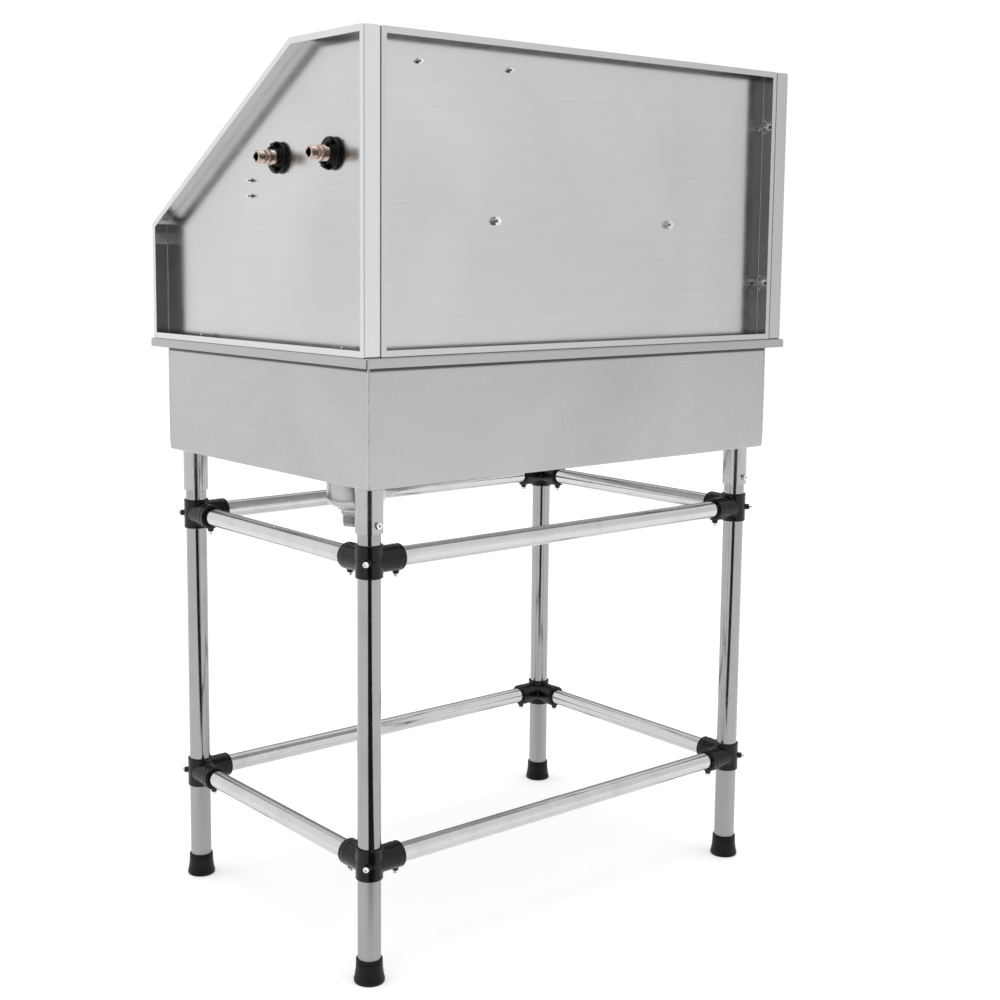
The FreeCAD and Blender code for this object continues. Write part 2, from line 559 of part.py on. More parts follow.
# the head clamps the fitting's sheet, and the rest of the screw goes through the panel
screw_tip = "Size.panel_screw_len - Size.fitting_sheet"
rack_face = "Size.panel_lip_y - Size.flange"
wall_face = "Size.panel_lip_x - Size.flange"
group("panel_screws", panel_screw,
      [(x, "%s + %s" % (rack_face, screw_tip), "Size.rack_z") + FRONT for x in RACK_SCREWS]
      + [("%s + %s" % (wall_face, screw_tip), "Size.holder_y", z) + LEFT for z in HOLDER_SCREWS])

m5_nut = nut("M5NutPattern", "Size.m5_rad", "Size.m5_nut", "Size.m5_nut_high")
group("hex_nuts", m5_nut,
      [(x, y, "Size.rim_top + Size.sheet") + UP for x, y in RIM_BOLTS]
      + [(x, rack_face + " + Size.sheet", "Size.rack_z") + BACK for x in RACK_SCREWS]
      + [(wall_face + " + Size.sheet", "Size.holder_y", z) + RIGHT for z in HOLDER_SCREWS])

CORNER_BOLTS = [(sign, z) for sign in (1, -1) for z in ("Size.corner_high_z", "Size.corner_low_z")]
corner_bolt = bolt("CornerBoltPattern", "Size.m6_rad", "Size.corner_bolt_len", "Size.m5_head + 0.5",
                   "Size.corner_head_high")
group("corner_bolts", corner_bolt,
      [("%d * (%s + Size.sheet - Size.corner_bolt_len)" % (sign, wall_face), "Size.corner_y", z)
       + (RIGHT if sign > 0 else LEFT) for sign, z in CORNER_BOLTS])
group("wing_nuts", wing_nut(),
      [("%d * (%s - Size.panel_fit - Size.sheet)" % (sign, wall_face), "Size.corner_y", z)
       + (LEFT if sign > 0 else RIGHT) for sign, z in CORNER_BOLTS])

# ---------------------------------------------------------------- drain

seat = "Size.basin_base + Size.skin"
cup_inner = "Size.drain_rad - Size.drain_sheet"
neck_rad = "Size.outlet_rad - 1.4"
neck_inner = "Size.outlet_rad - 3"
neck_end = "Size.outlet_neck - 22"
turned("drain_cup", [("Size.drain_rad", seat), ("Size.drain_flange", seat),
                     ("Size.drain_flange", seat + " + Size.drain_sheet"),
                     (cup_inner, seat + " + Size.drain_sheet"),
                     (cup_inner, "Size.drain_base + 1"),
                     ("Size.drain_rad - Size.drain_step", "Size.drain_base - Size.drain_dish"),
                     ("Size.outlet_rad + Size.outlet_collar", "Size.outlet_neck + Size.drain_sheet"),
                     (neck_inner, "Size.outlet_neck - Size.over"), (neck_inner, neck_end),
                     (neck_rad, neck_end),
                     (neck_rad, "Size.outlet_neck - 2 * Size.drain_sheet"),
                     ("Size.outlet_rad + Size.outlet_collar + 1", "Size.outlet_neck"),
                     ("Size.drain_rad - Size.drain_step + Size.drain_sheet",
                      "Size.drain_base - Size.drain_dish - Size.drain_sheet"),
                     ("Size.drain_rad", "Size.drain_base")],
       x="Size.drain_x")
cup_bore = "Size.drain_rad + Size.fit"
turned("drain_gasket", [(cup_bore, "-Size.gasket_high"), ("Size.drain_flange - 1", "-Size.gasket_high"),
                        ("Size.drain_flange - 1", "0"), (cup_bore, "0")],
       x="Size.drain_x", z="Size.basin_base")
turned("drain_locknut", [(cup_bore, "-Size.locknut_high"), ("Size.drain_flange - 3", "-Size.locknut_high"),
                         ("Size.drain_flange - 3", "-Size.locknut_high / 2"),
                         ("Size.drain_flange", "-Size.locknut_high / 2"),
                         ("Size.drain_flange", "-Size.gasket_high"), (cup_bore, "-Size.gasket_high")],
       x="Size.drain_x", z="Size.basin_base")
collar_rad = "Size.outlet_rad + 2.5"
collar_low = "Size.outlet_high - Size.outlet_collar"
turned("drain_outlet", [("Size.outlet_rad - 1.3", "Size.outlet_high"), (collar_rad, "Size.outlet_high"),
                        (collar_rad, collar_low), ("Size.outlet_rad", collar_low + " - 1"),
                        ("Size.outlet_rad", "0"),
                        ("Size.outlet_rad - 2.5", "0"), ("Size.outlet_rad - 2.5", "7"),
                        ("Size.outlet_rad - 1.3", "8")],
       x="Size.drain_x", z="Size.outlet_end")


def make_strainer():
    """A lift-out basket with a pull knob; its rim rests on the drain's flange."""
    wall_rad = "Size.basket_rad - Size.drain_sheet"
    rest_rad = "Size.drain_flange - 4"
    under_rim = "Size.basket_deep - Size.drain_sheet"
    body = turned("strainer_basket",
                  [("0", "0"), ("Size.basket_rad", "0"), ("Size.basket_rad", under_rim),
                   (rest_rad, under_rim), (rest_rad, "Size.basket_deep"),
                   (wall_rad, "Size.basket_deep"), (wall_rad, "Size.drain_sheet"),
                   ("Size.knob_stem", "Size.drain_sheet"), ("Size.knob_stem", "Size.knob_high - 8"),
                   ("Size.knob_rad", "Size.knob_high - 6"), ("Size.knob_rad", "Size.knob_high - 2"),
                   ("Size.knob_rad - 3", "Size.knob_high"), ("0", "Size.knob_high")],
                  x="Size.drain_x", z="%s + 2 * Size.drain_sheet + Size.basket_gap - Size.basket_deep" % seat)
    for count, radius in FLOOR_RINGS:
        ring = circle(new_sketch(body, "XY_Plane", "Size.drain_sheet"), radius, "0", FLOOR_HOLE)
        spread(body, pocket(body, ring, "2 * Size.drain_sheet"), count)
    for level in WALL_LEVELS:
        ring = circle(new_sketch(body, "YZ_Plane", wall_rad + " - 3"), "0", level, WALL_HOLE)
        spread(body, pocket(body, ring, "Size.drain_sheet + 6", back=True), WALL_HOLES)


# rows of holes in the strainer: the count and the radius of each ring in its floor, and its wall's two levels
FLOOR_RINGS = ((6, "12"), (12, "22"), (16, "32"))
FLOOR_HOLE = "2.6"
WALL_LEVELS = ("12", "22")
WALL_HOLE = "3"
WALL_HOLES = 16


def spread(body, feature, count):
    """Repeat a feature round the body's Z axis."""
    around = body.newObject("PartDesign::PolarPattern", body.Name + "Round")
    around.Originals = [feature]
    around.Axis = ([f for f in body.Origin.OriginFeatures if f.Role == "Z_Axis"][0], [""])
    around.Angle = 360
    around.Occurrences = count
    body.Tip = around
    doc.recompute()


make_strainer()

# ---------------------------------------------------------------- faucet

def make_faucet_body():
    """A cast bar with two inlet arms to the wall, two valve seats to the front and a hose outlet below."""
    body = node(new_body("FaucetBody", x="Size.body_x", y="Size.inlet_mid", z="Size.inlet_z"), "faucet_body")
    bar = circle(new_sketch(body, "XZ_Plane", "-Size.inlet_half - Size.body_over"), "0", "0", "Size.body_rad")
    pad(body, bar, "2 * (Size.inlet_half + Size.body_over)")
    soften(body, "Fillet", "Size.body_edge",
           lambda e, m: abs(abs(m.y) - size("inlet_half") - size("body_over")) < 0.1)
    arms = new_sketch(body, "YZ_Plane")
    seats = new_sketch(body, "YZ_Plane")
    for y in ("-Size.inlet_half", "Size.inlet_half"):
        circle(arms, y, "0", "Size.arm_rad")
        circle(seats, y, "0", "Size.valve_rad")
    pad(body, arms, "Size.arm_len")
    pad(body, seats, "Size.body_x - Size.valve_face", back=True)
    spout = circle(new_sketch(body, "XY_Plane"), "0", "0", "Size.nipple_rad + Size.faucet_wall")
    pad(body, spout, "Size.spout_drop", back=True)
    chambers = new_sketch(body, "YZ_Plane", "Size.valve_face - Size.body_x")
    ports = new_sketch(body, "YZ_Plane", "Size.arm_len")
    for y in ("-Size.inlet_half", "Size.inlet_half"):
        circle(chambers, y, "0", "Size.disc_rad + 3 * Size.fit")
        circle(ports, y, "0", "Size.port_rad")
    pocket(body, chambers, "2 * Size.disc_deep", back=True)
    pocket(body, ports, "Size.disc_deep")
    mouth = new_sketch(body, "XY_Plane", "-Size.spout_drop")
    circle(mouth, "0", "0", "Size.water_rad + Size.tail_wall")
    pocket(body, mouth, "Size.tail_len", back=True)


make_faucet_body()
arm_end = "Size.body_x + Size.arm_len"
step = "Size.step_x - (%s)" % arm_end
tip = "Size.inlet_end - (%s)" % arm_end
for label, y in (("cold", INLETS[0]), ("hot", INLETS[1])):
    # along its own axis the shank runs from inside the faucet's arm to the outer end of the hose nipple
    turned(label + "_inlet_shank",
           [("Size.water_rad", "-Size.shank_in"), ("Size.port_rad", "-Size.shank_in"), ("Size.port_rad", "0"),
            ("Size.arm_rad", "0"), ("Size.arm_rad", "Size.shank_collar"),
            ("Size.thread_rad", "Size.shank_collar + 0.5"), ("Size.thread_rad", step),
            ("Size.nipple_rad", step + " + 0.8"), ("Size.nipple_rad", tip + " - 1"),
            ("Size.nipple_rad - 1", tip), ("Size.water_rad", tip)],
           x=arm_end, y=y, z="Size.inlet_z", axis=RIGHT[0], angle=RIGHT[1])
    # the valve's disc turns in its chamber and its stem comes out through the bonnet
    turned(label + "_spindle",
           [("0", "-Size.disc_deep"), ("Size.disc_rad", "-Size.disc_deep"), ("Size.disc_rad", "-1"),
            ("Size.stem_rad", "-1"), ("Size.stem_rad", "Size.stem_len"), ("0", "Size.stem_len")],
           x="Size.valve_face", y=y, z="Size.inlet_z", axis=LEFT[0], angle=LEFT[1])

thread_bore = "Size.thread_rad + Size.fit"
escutcheon = new_body("EscutcheonPattern")
revolve(escutcheon, [(thread_bore, "0"), ("Size.plate_rad", "0"), ("Size.plate_rad", "Size.plate_edge"),
                     ("Size.plate_rad - 7", "Size.plate_high"), (thread_bore, "Size.plate_high")])
washer = new_body("WasherPattern")
revolve(washer, [(thread_bore, "0"), ("Size.washer_rad", "0"), ("Size.washer_rad", "Size.washer_high"),
                 (thread_bore, "Size.washer_high")])
hub_edge = "Size.thread_rad + Size.nut_hub"
inlet_nut = new_body("InletNutPattern")
revolve(inlet_nut, [("Size.thread_rad", "0"), ("Size.inlet_nut_rad", "0"),
                    ("Size.inlet_nut_rad", "Size.nut_ring"), (hub_edge, "Size.nut_ring"),
                    (hub_edge + " - 1", "Size.nut_hub_high"),
                    ("Size.thread_rad", "Size.nut_hub_high")])
for way in ("", "-"):
    lug = new_sketch(inlet_nut, "XY_Plane", "Size.washer_high")
    near = way + "(Size.thread_rad + 1)"
    far = way + "(%s)" % hub_edge
    outline(lug, [(near, "-Size.lug_half"), (far, "-Size.lug_half"), (far, "Size.lug_half"),
                  (near, "Size.lug_half")])
    pad(inlet_nut, lug, "Size.lug_len")
group("inlet_escutcheons", escutcheon, [(wall_face, y, "Size.inlet_z") + LEFT for y in INLETS])
group("inlet_washers", washer, [(wall_face + " + Size.sheet", y, "Size.inlet_z") + RIGHT for y in INLETS])
group("inlet_nuts", inlet_nut,
      [(wall_face + " + Size.sheet + Size.washer_high", y, "Size.inlet_z") + RIGHT for y in INLETS])

stem_bore = "Size.stem_rad + Size.push_fit"
bonnet = new_body("BonnetPattern")
revolve(bonnet, [(stem_bore, "0"), ("Size.bonnet_rad", "0"), ("Size.bonnet_rad", "Size.bonnet_high / 3"),
                 ("Size.bonnet_neck", "Size.bonnet_high / 2"), ("Size.bonnet_neck", "Size.bonnet_high"),
                 (stem_bore, "Size.bonnet_high")])
group("valve_bonnets", bonnet, [("Size.valve_face", y, "Size.inlet_z") + LEFT for y in INLETS])


def make_handle(label, y):
    """A lever on the valve's stem: a round hub with one flat blade that stands up when it is shut."""
    name = label.title().replace("_", "")
    body = node(new_body(name, x="Size.valve_face - Size.hub_gap", y=y, z="Size.inlet_z", axis=LEFT[0],
                         angle=LEFT[1]), label)
    revolve(body, [("0", "Size.stem_deep"), ("Size.stem_rad", "Size.stem_deep"), ("Size.stem_rad", "0"),
                   ("Size.hub_rad - 2", "0"), ("Size.hub_rad", "5"),
                   ("Size.hub_rad - 1", "Size.hub_high - 3"),
                   ("Size.hub_rad - 4", "Size.hub_high"), ("0", "Size.hub_high")])
    # turned to face along -X, the body's own +X points up
    blade = new_sketch(body, "XY_Plane", "Size.blade_low")
    outline(blade, [("0", "-Size.hub_rad + 3"), ("Size.lever_len - 5", "-2 * Size.blade_tip"),
                    ("Size.lever_len", "-Size.blade_tip"), ("Size.lever_len", "Size.blade_tip"),
                    ("Size.lever_len - 5", "2 * Size.blade_tip"), ("0", "Size.hub_rad - 3")])
    pad(body, blade, "Size.blade_thick")
    bore = circle(new_sketch(body, "XY_Plane"), "0", "0", "Size.stem_rad")
    pocket(body, bore, "Size.stem_deep", back=True)


make_handle("cold_handle", INLETS[0])
make_handle("hot_handle", INLETS[1])
tail_rad = "Size.water_rad + Size.tail_wall - Size.fit"
outlet_bore = "Size.water_rad - 0.5"
turned("hose_outlet", [(outlet_bore, "Size.tail_len"), (tail_rad, "Size.tail_len"), (tail_rad, "0"),
                       ("Size.nipple_rad + 2", "0"), ("Size.nipple_rad + 2", "-6"), ("Size.nipple_rad", "-7"),
                       ("Size.nipple_rad", "1 - Size.nipple_len"),
                       ("Size.nipple_rad - 1", "-Size.nipple_len"),
                       (outlet_bore, "-Size.nipple_len")],
       x="Size.body_x", y="Size.inlet_mid", z="Size.inlet_z - Size.spout_drop")

# ---------------------------------------------------------------- fittings inside the panels

def make_sprayer_holder():
    """A wall plate with a short arm and an open ring that a hand sprayer drops into."""
    body = node(new_body("SprayerHolder", x=wall_face, y="Size.holder_y", z="Size.holder_z"),
                "sprayer_holder")
    pad(body, box_outline(new_sketch(body, "YZ_Plane"), "Size.holder_plate_x", "Size.holder_plate_z"),
        "Size.fitting_sheet", back=True)
    pad(body, box_outline(new_sketch(body, "YZ_Plane"), "Size.holder_arm_x", "Size.holder_arm_z"),
        "Size.holder_reach - Size.holder_bore - 1", back=True)
    ring = circle(new_sketch(body, "XY_Plane", "-Size.holder_high / 2"), "-Size.holder_reach", "0",
                  "Size.holder_bore + Size.holder_ring")
    pad(body, ring, "Size.holder_high")
    above = "Size.holder_high / 2 + Size.over"
    hole = circle(new_sketch(body, "XY_Plane", above), "-Size.holder_reach", "0", "Size.holder_bore")
    pocket(body, hole, "Size.holder_high + 2 * Size.over")
    far = "-2 * Size.holder_reach"
    mouth = outline(new_sketch(body, "XY_Plane", above),
                    [("-Size.holder_reach", "-Size.holder_mouth"),
                     ("-Size.holder_reach", "Size.holder_mouth"),
                     (far, "Size.holder_mouth"), (far, "-Size.holder_mouth")])
    pocket(body, mouth, "Size.holder_high + 2 * Size.over")
    screws = new_sketch(body, "YZ_Plane")
    for z in HOLDER_SCREWS:
        circle(screws, "0", z + " - Size.holder_z", "Size.m5_clear")
    pocket(body, screws, "Size.fitting_sheet + Size.over")


def make_soap_rack():
    """A folded sheet basket for shampoo bottles, slotted in its floor and low at its front."""
    body = node(new_body("SoapRack", x="Size.rack_x", y="%s - Size.rack_deep / 2" % rack_face,
                         z="Size.rack_z + Size.rack_drop - Size.rack_high"), "soap_rack")
    pad(body, box_outline(new_sketch(body, "XY_Plane"), "Size.rack_wide / 2", "Size.rack_deep / 2"),
        "Size.rack_high")
    soften(body, "Fillet", "Size.rack_bend", lambda e, m: abs(m.z) < 0.01)
    inside = new_sketch(body, "XY_Plane", "Size.rack_high")
    box_outline(inside, "Size.rack_wide / 2 - Size.fitting_sheet", "Size.rack_deep / 2 - Size.fitting_sheet")
    pocket(body, inside, "Size.rack_high - Size.fitting_sheet")
    soften(body, "Fillet", "Size.rack_bend - Size.fitting_sheet",
           lambda e, m: abs(m.z - size("fitting_sheet")) < 0.01)
    above = "Size.rack_high + Size.over"
    low_front = outline(new_sketch(body, "XZ_Plane", "Size.rack_deep / 2 - 5"),
                        [("-Size.rack_wide", "Size.rack_front"), ("Size.rack_wide", "Size.rack_front"),
                         ("Size.rack_wide", above), ("-Size.rack_wide", above)])
    pocket(body, low_front, "Size.rack_deep - 7")
    slots = new_sketch(body, "XY_Plane", "Size.fitting_sheet + Size.over")
    slot_end = "Size.rack_deep / 2 - Size.rack_border"
    for k in RACK_SLOTS:
        left = "%d * Size.rack_pitch - Size.rack_slot / 2" % k
        right = "%d * Size.rack_pitch + Size.rack_slot / 2" % k
        outline(slots, [(left, "-(%s)" % slot_end), (right, "-(%s)" % slot_end), (right, slot_end),
                        (left, slot_end)])
    pocket(body, slots, "Size.fitting_sheet + 2 * Size.over")
    screws = new_sketch(body, "XZ_Plane", "-Size.rack_deep / 2")
    for way in ("-", ""):
        circle(screws, way + "Size.rack_half", "Size.rack_high - Size.rack_drop", "Size.m5_clear")
    pocket(body, screws, "Size.fitting_sheet + Size.over", back=True)


RACK_SLOTS = range(-5, 6)

make_sprayer_holder()
make_soap_rack()

# an eye bolt stands on the end of its stem, its ring on top
stem = doc.addObject("Part::Cylinder", "EyeStem")
stem.setExpression("Radius", "Size.m8_rad")
stem.setExpression("Height", "Size.eye_stem")
collar = doc.addObject("Part::Cylinder", "EyeCollar")
collar.setExpression("Radius", "Size.eye_collar")
collar.setExpression("Height", "Size.eye_collar_high")
place(collar, z="Size.eye_through")
ring = doc.addObject("Part::Torus", "EyeRing")
ring.setExpression("Radius1", "Size.eye_rad")
ring.setExpression("Radius2", "Size.eye_wire")
place(ring, z="Size.eye_stem + Size.eye_rad - 1", axis=(1, 0, 0), angle=90)
eye = doc.addObject("Part::MultiFuse", "EyePattern")
eye.Shapes = [stem, collar, ring]
tethers = [(side + "Size.tether_x", rack_face, "Size.tether_z") for side in ("-", "")]
group("tether_eyes", eye, [(x, y + " + Size.eye_through", z) + FRONT for x, y, z in tethers])
m8_nut = nut("M8NutPattern", "Size.m8_rad", "Size.m8_nut", "Size.m8_nut_high")
group("tether_nuts", m8_nut, [(x, y + " + Size.sheet", z) + BACK for x, y, z in tethers])

# ---------------------------------------------------------------- check and write

doc.recompute()
for thing in doc.Objects:
    if "Invalid" in thing.State or "Error" in thing.State:
        raise RuntimeError("%s did not build: %s" % (thing.Name, thing.State))
for part in NODES:
    if part.Shape.isNull() or not part.Shape.isValid():
        raise RuntimeError("%s has no valid shape" % part.Label)
os.makedirs("parts", exist_ok=True)
for part in NODES:
    part.Shape.exportStep("parts/%s.step" % part.Label)
print("%d sub-parts written" % len(NODES))
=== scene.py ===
"""Pet bathtub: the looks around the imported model.

Lengths are in metres, +Z is up, the back panel is at +Y and the faucet wall at +X.
"""
import json
import math

import bmesh
import bpy
from mathutils import Matrix, Vector


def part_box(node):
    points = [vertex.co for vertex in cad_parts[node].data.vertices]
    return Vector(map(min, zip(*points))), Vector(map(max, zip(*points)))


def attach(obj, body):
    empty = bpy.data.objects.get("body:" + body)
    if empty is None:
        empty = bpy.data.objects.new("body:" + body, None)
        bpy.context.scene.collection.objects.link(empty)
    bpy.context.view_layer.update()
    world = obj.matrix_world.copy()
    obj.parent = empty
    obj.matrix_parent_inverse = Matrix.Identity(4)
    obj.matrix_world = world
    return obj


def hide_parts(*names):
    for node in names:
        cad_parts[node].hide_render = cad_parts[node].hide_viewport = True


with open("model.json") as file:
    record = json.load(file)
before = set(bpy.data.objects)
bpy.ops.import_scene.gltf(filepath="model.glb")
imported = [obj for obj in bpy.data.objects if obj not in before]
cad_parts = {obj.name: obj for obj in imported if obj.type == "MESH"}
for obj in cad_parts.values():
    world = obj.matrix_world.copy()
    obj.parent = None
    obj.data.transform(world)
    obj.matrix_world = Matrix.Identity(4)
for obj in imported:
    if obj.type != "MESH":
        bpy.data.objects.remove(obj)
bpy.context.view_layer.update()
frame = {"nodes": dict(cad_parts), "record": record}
nodes = frame["nodes"]

MM = 0.001
SHARP = math.radians(35)
CORNERS = ("front_left", "front_right", "back_right", "back_left")


# ---------------------------------------------------------------- materials

def start_material(name):
    """A new material with an empty node tree."""
    material = bpy.data.materials.new(name)
    material.use_nodes = True
    material.node_tree.nodes.clear()
    return material, material.node_tree.nodes, material.node_tree.links


# a band that starts beyond the tub, so it never shows
NO_BAND = ((0, 0, 1), 9.0, 0.6, 0.3)
INNER_FADE = 3 * MM
OUTER_FADE = 1 * MM


def sheet_steel(name, tone, roughness, grain, handling=0.5, inner=NO_BAND, outer=NO_BAND):
    """Satin stainless sheet: rolled grain, soft clouding and faint wipe marks.

    grain is the scale of the rolled lines along X, Y and Z; the smallest number is the way they run.
    inner and outer are bands along the edges with a finish of their own, the outer one on top; their
    tones are painted light and shade: a highlight on the folds, shade under the basin's rim, and strips
    and rim toned by how they are lit.
    Each is a direction, how far along it the band starts, its tone and its roughness.
    """
    inner_way, inner_start, inner_shade, inner_rough = inner
    outer_way, outer_start, outer_shade, outer_rough = outer
    material, new, links = start_material(name)
    colour_frame = new.new("NodeFrame")
    colour_frame.label = "Colour: clouding of the rolled sheet"
    gloss_frame = new.new("NodeFrame")
    gloss_frame.label = "Gloss: wipe marks and finger marks"
    relief_frame = new.new("NodeFrame")
    relief_frame.label = "Relief: rolled grain and slight waviness"
    # the inner band's tone is a painted highlight on the panels' folds and painted shade under the
    # basin's rim
    inner_frame = new.new("NodeFrame")
    inner_frame.label = "Inner band: folds with a painted highlight, or painted shade under the rim"
    # the outer band's tone is painted light and shade on the strips and the rim
    outer_frame = new.new("NodeFrame")
    outer_frame.label = "Outer band: strips and the rim, toned with painted light and shade"
    place = new.new("ShaderNodeTexCoord")
    place.label = "Place on the sheet"
    clouds = new.new("ShaderNodeTexNoise")
    clouds.label = "Soft clouding"
    cloud_tone = new.new("ShaderNodeValToRGB")
    cloud_tone.label = "Tone of the clouding"
    stretch = new.new("ShaderNodeMapping")
    stretch.label = "Stretch along the rolling"
    lines = new.new("ShaderNodeTexNoise")
    lines.label = "Rolled lines"
    line_tone = new.new("ShaderNodeMix")
    line_tone.label = "Lines in the tone"
    wipes = new.new("ShaderNodeTexNoise")
    wipes.label = "Wipe marks"
    wipe_gloss = new.new("ShaderNodeMapRange")
    wipe_gloss.label = "Gloss of the marks"
    line_gloss = new.new("ShaderNodeMath")
    line_gloss.label = "Lines in the gloss"
    sum_gloss = new.new("ShaderNodeMath")
    sum_gloss.label = "Marks and lines"
    inner_reach = new.new("ShaderNodeVectorMath")
    inner_reach.label = "Distance toward the edge"
    inner_share = new.new("ShaderNodeMapRange")
    inner_share.label = "On the inner band"
    inner_tone = new.new("ShaderNodeMix")
    inner_tone.label = "Tone of the inner band"
    inner_gloss = new.new("ShaderNodeMix")
    inner_gloss.label = "Gloss of the inner band"
    outer_reach = new.new("ShaderNodeVectorMath")
    outer_reach.label = "Distance toward the strip"
    outer_share = new.new("ShaderNodeMapRange")
    outer_share.label = "On the outer band"
    outer_tone = new.new("ShaderNodeMix")
    outer_tone.label = "Tone of the outer band"
    outer_gloss = new.new("ShaderNodeMix")
    outer_gloss.label = "Gloss of the outer band"
    waves = new.new("ShaderNodeTexNoise")
    waves.label = "Waviness of thin sheet"
    wave_bump = new.new("ShaderNodeBump")
    wave_bump.label = "Waviness"
    line_bump = new.new("ShaderNodeBump")
    line_bump.label = "Grain"
    steel = new.new("ShaderNodeBsdfPrincipled")
    steel.label = "Stainless steel"
    output = new.new("ShaderNodeOutputMaterial")
    output.label = "Surface"
    for node, group, x, y in (
            (place, None, -1300, 0), (clouds, colour_frame, -900, 420),
            (cloud_tone, colour_frame, -680, 420), (line_tone, colour_frame, -340, 420),
            (inner_reach, inner_frame, -900, 1180), (inner_share, inner_frame, -680, 1180),
            (inner_tone, inner_frame, -440, 1240), (inner_gloss, inner_frame, -440, 1000),
            (outer_reach, outer_frame, -900, 780), (outer_share, outer_frame, -680, 780),
            (outer_tone, outer_frame, -240, 880), (outer_gloss, outer_frame, -240, 660),
            (stretch, relief_frame, -1080, -420), (lines, relief_frame, -880, -420),
            (waves, relief_frame, -880, -700), (wave_bump, relief_frame, -560, -700),
            (line_bump, relief_frame, -320, -480), (wipes, gloss_frame, -900, 60),
            (wipe_gloss, gloss_frame, -680, 60), (line_gloss, gloss_frame, -680, -180),
            (sum_gloss, gloss_frame, -440, 0), (steel, None, 0, 200), (output, None, 320, 200)):
        node.parent = group
        node.location = (x, y)
    clouds.inputs["Scale"].default_value = 2.2
    clouds.inputs["Detail"].default_value = 3
    clouds.inputs["Roughness"].default_value = 0.55
    clouds.inputs["Distortion"].default_value = 0.6
    cloud_tone.color_ramp.elements[0].position = 0.25
    cloud_tone.color_ramp.elements[0].color = (tone * 0.89, tone * 0.893, tone * 0.9, 1)
    cloud_tone.color_ramp.elements[1].position = 0.78
    cloud_tone.color_ramp.elements[1].color = (tone * 1.05, tone * 1.051, tone * 1.054, 1)
    stretch.inputs["Scale"].default_value = grain
    lines.inputs["Scale"].default_value = 1
    lines.inputs["Detail"].default_value = 4
    lines.inputs["Roughness"].default_value = 0.65
    line_tone.data_type = "RGBA"
    line_tone.blend_type = "SOFT_LIGHT"
    line_tone.inputs["Factor"].default_value = 0.16
    wipes.inputs["Scale"].default_value = 7
    wipes.inputs["Detail"].default_value = 5
    wipes.inputs["Roughness"].default_value = 0.6
    wipes.inputs["Distortion"].default_value = 1.8
    wipe_gloss.inputs["From Min"].default_value = 0.3
    wipe_gloss.inputs["From Max"].default_value = 0.75
    wipe_gloss.inputs["To Min"].default_value = roughness - 0.05 * handling
    wipe_gloss.inputs["To Max"].default_value = roughness + 0.09 * handling
    line_gloss.operation = "MULTIPLY_ADD"
    line_gloss.inputs[1].default_value = 0.08
    line_gloss.inputs[2].default_value = -0.04
    sum_gloss.operation = "ADD"
    sum_gloss.use_clamp = True
    inner_reach.operation = "DOT_PRODUCT"
    inner_reach.inputs[1].default_value = inner_way
    inner_share.inputs["From Min"].default_value = inner_start
    inner_share.inputs["From Max"].default_value = inner_start + INNER_FADE
    inner_tone.data_type = "RGBA"
    inner_tone.inputs["B"].default_value = (inner_shade, inner_shade, inner_shade, 1)
    inner_gloss.inputs["B"].default_value = inner_rough
    outer_reach.operation = "DOT_PRODUCT"
    outer_reach.inputs[1].default_value = outer_way
    outer_share.inputs["From Min"].default_value = outer_start
    outer_share.inputs["From Max"].default_value = outer_start + OUTER_FADE
    outer_tone.data_type = "RGBA"
    outer_tone.inputs["B"].default_value = (outer_shade, outer_shade, outer_shade, 1)
    outer_gloss.inputs["B"].default_value = outer_rough
    waves.inputs["Scale"].default_value = 2.1
    waves.inputs["Detail"].default_value = 1
    wave_bump.inputs["Strength"].default_value = 0.12
    wave_bump.inputs["Distance"].default_value = 0.004
    line_bump.inputs["Strength"].default_value = 0.10
    line_bump.inputs["Distance"].default_value = 0.0002
    steel.inputs["Metallic"].default_value = 1
    links.new(place.outputs["Object"], clouds.inputs["Vector"])
    links.new(place.outputs["Object"], wipes.inputs["Vector"])
    links.new(place.outputs["Object"], waves.inputs["Vector"])
    links.new(place.outputs["Object"], stretch.inputs["Vector"])
    links.new(stretch.outputs["Vector"], lines.inputs["Vector"])
    links.new(clouds.outputs["Fac"], cloud_tone.inputs["Fac"])
    links.new(cloud_tone.outputs["Color"], line_tone.inputs["A"])
    links.new(lines.outputs["Color"], line_tone.inputs["B"])
    links.new(place.outputs["Object"], inner_reach.inputs[0])
    links.new(inner_reach.outputs["Value"], inner_share.inputs["Value"])
    links.new(inner_share.outputs["Result"], inner_tone.inputs["Factor"])
    links.new(line_tone.outputs["Result"], inner_tone.inputs["A"])
    links.new(inner_share.outputs["Result"], inner_gloss.inputs["Factor"])
    links.new(sum_gloss.outputs["Value"], inner_gloss.inputs["A"])
    links.new(place.outputs["Object"], outer_reach.inputs[0])
    links.new(outer_reach.outputs["Value"], outer_share.inputs["Value"])
    links.new(outer_share.outputs["Result"], outer_tone.inputs["Factor"])
    links.new(inner_tone.outputs["Result"], outer_tone.inputs["A"])
    links.new(outer_share.outputs["Result"], outer_gloss.inputs["Factor"])
    links.new(inner_gloss.outputs["Result"], outer_gloss.inputs["A"])
    links.new(outer_tone.outputs["Result"], steel.inputs["Base Color"])
    links.new(wipes.outputs["Fac"], wipe_gloss.inputs["Value"])
    links.new(lines.outputs["Fac"], line_gloss.inputs[0])
    links.new(wipe_gloss.outputs["Result"], sum_gloss.inputs[0])
    links.new(line_gloss.outputs["Value"], sum_gloss.inputs[1])
    links.new(outer_gloss.outputs["Result"], steel.inputs["Roughness"])
    links.new(waves.outputs["Fac"], wave_bump.inputs["Height"])
    links.new(wave_bump.outputs["Normal"], line_bump.inputs["Normal"])
    links.new(lines.outputs["Fac"], line_bump.inputs["Height"])
    links.new(line_bump.outputs["Normal"], steel.inputs["Normal"])
    links.new(steel.outputs["BSDF"], output.inputs["Surface"])
    return material


OLD_STAIN = (0.55, 0.5, 0.45)
DULL_TONE = (0.37, 0.372, 0.378, 1)
DULL_GLOSS = 0.46
DULL_FADE = 2 * MM


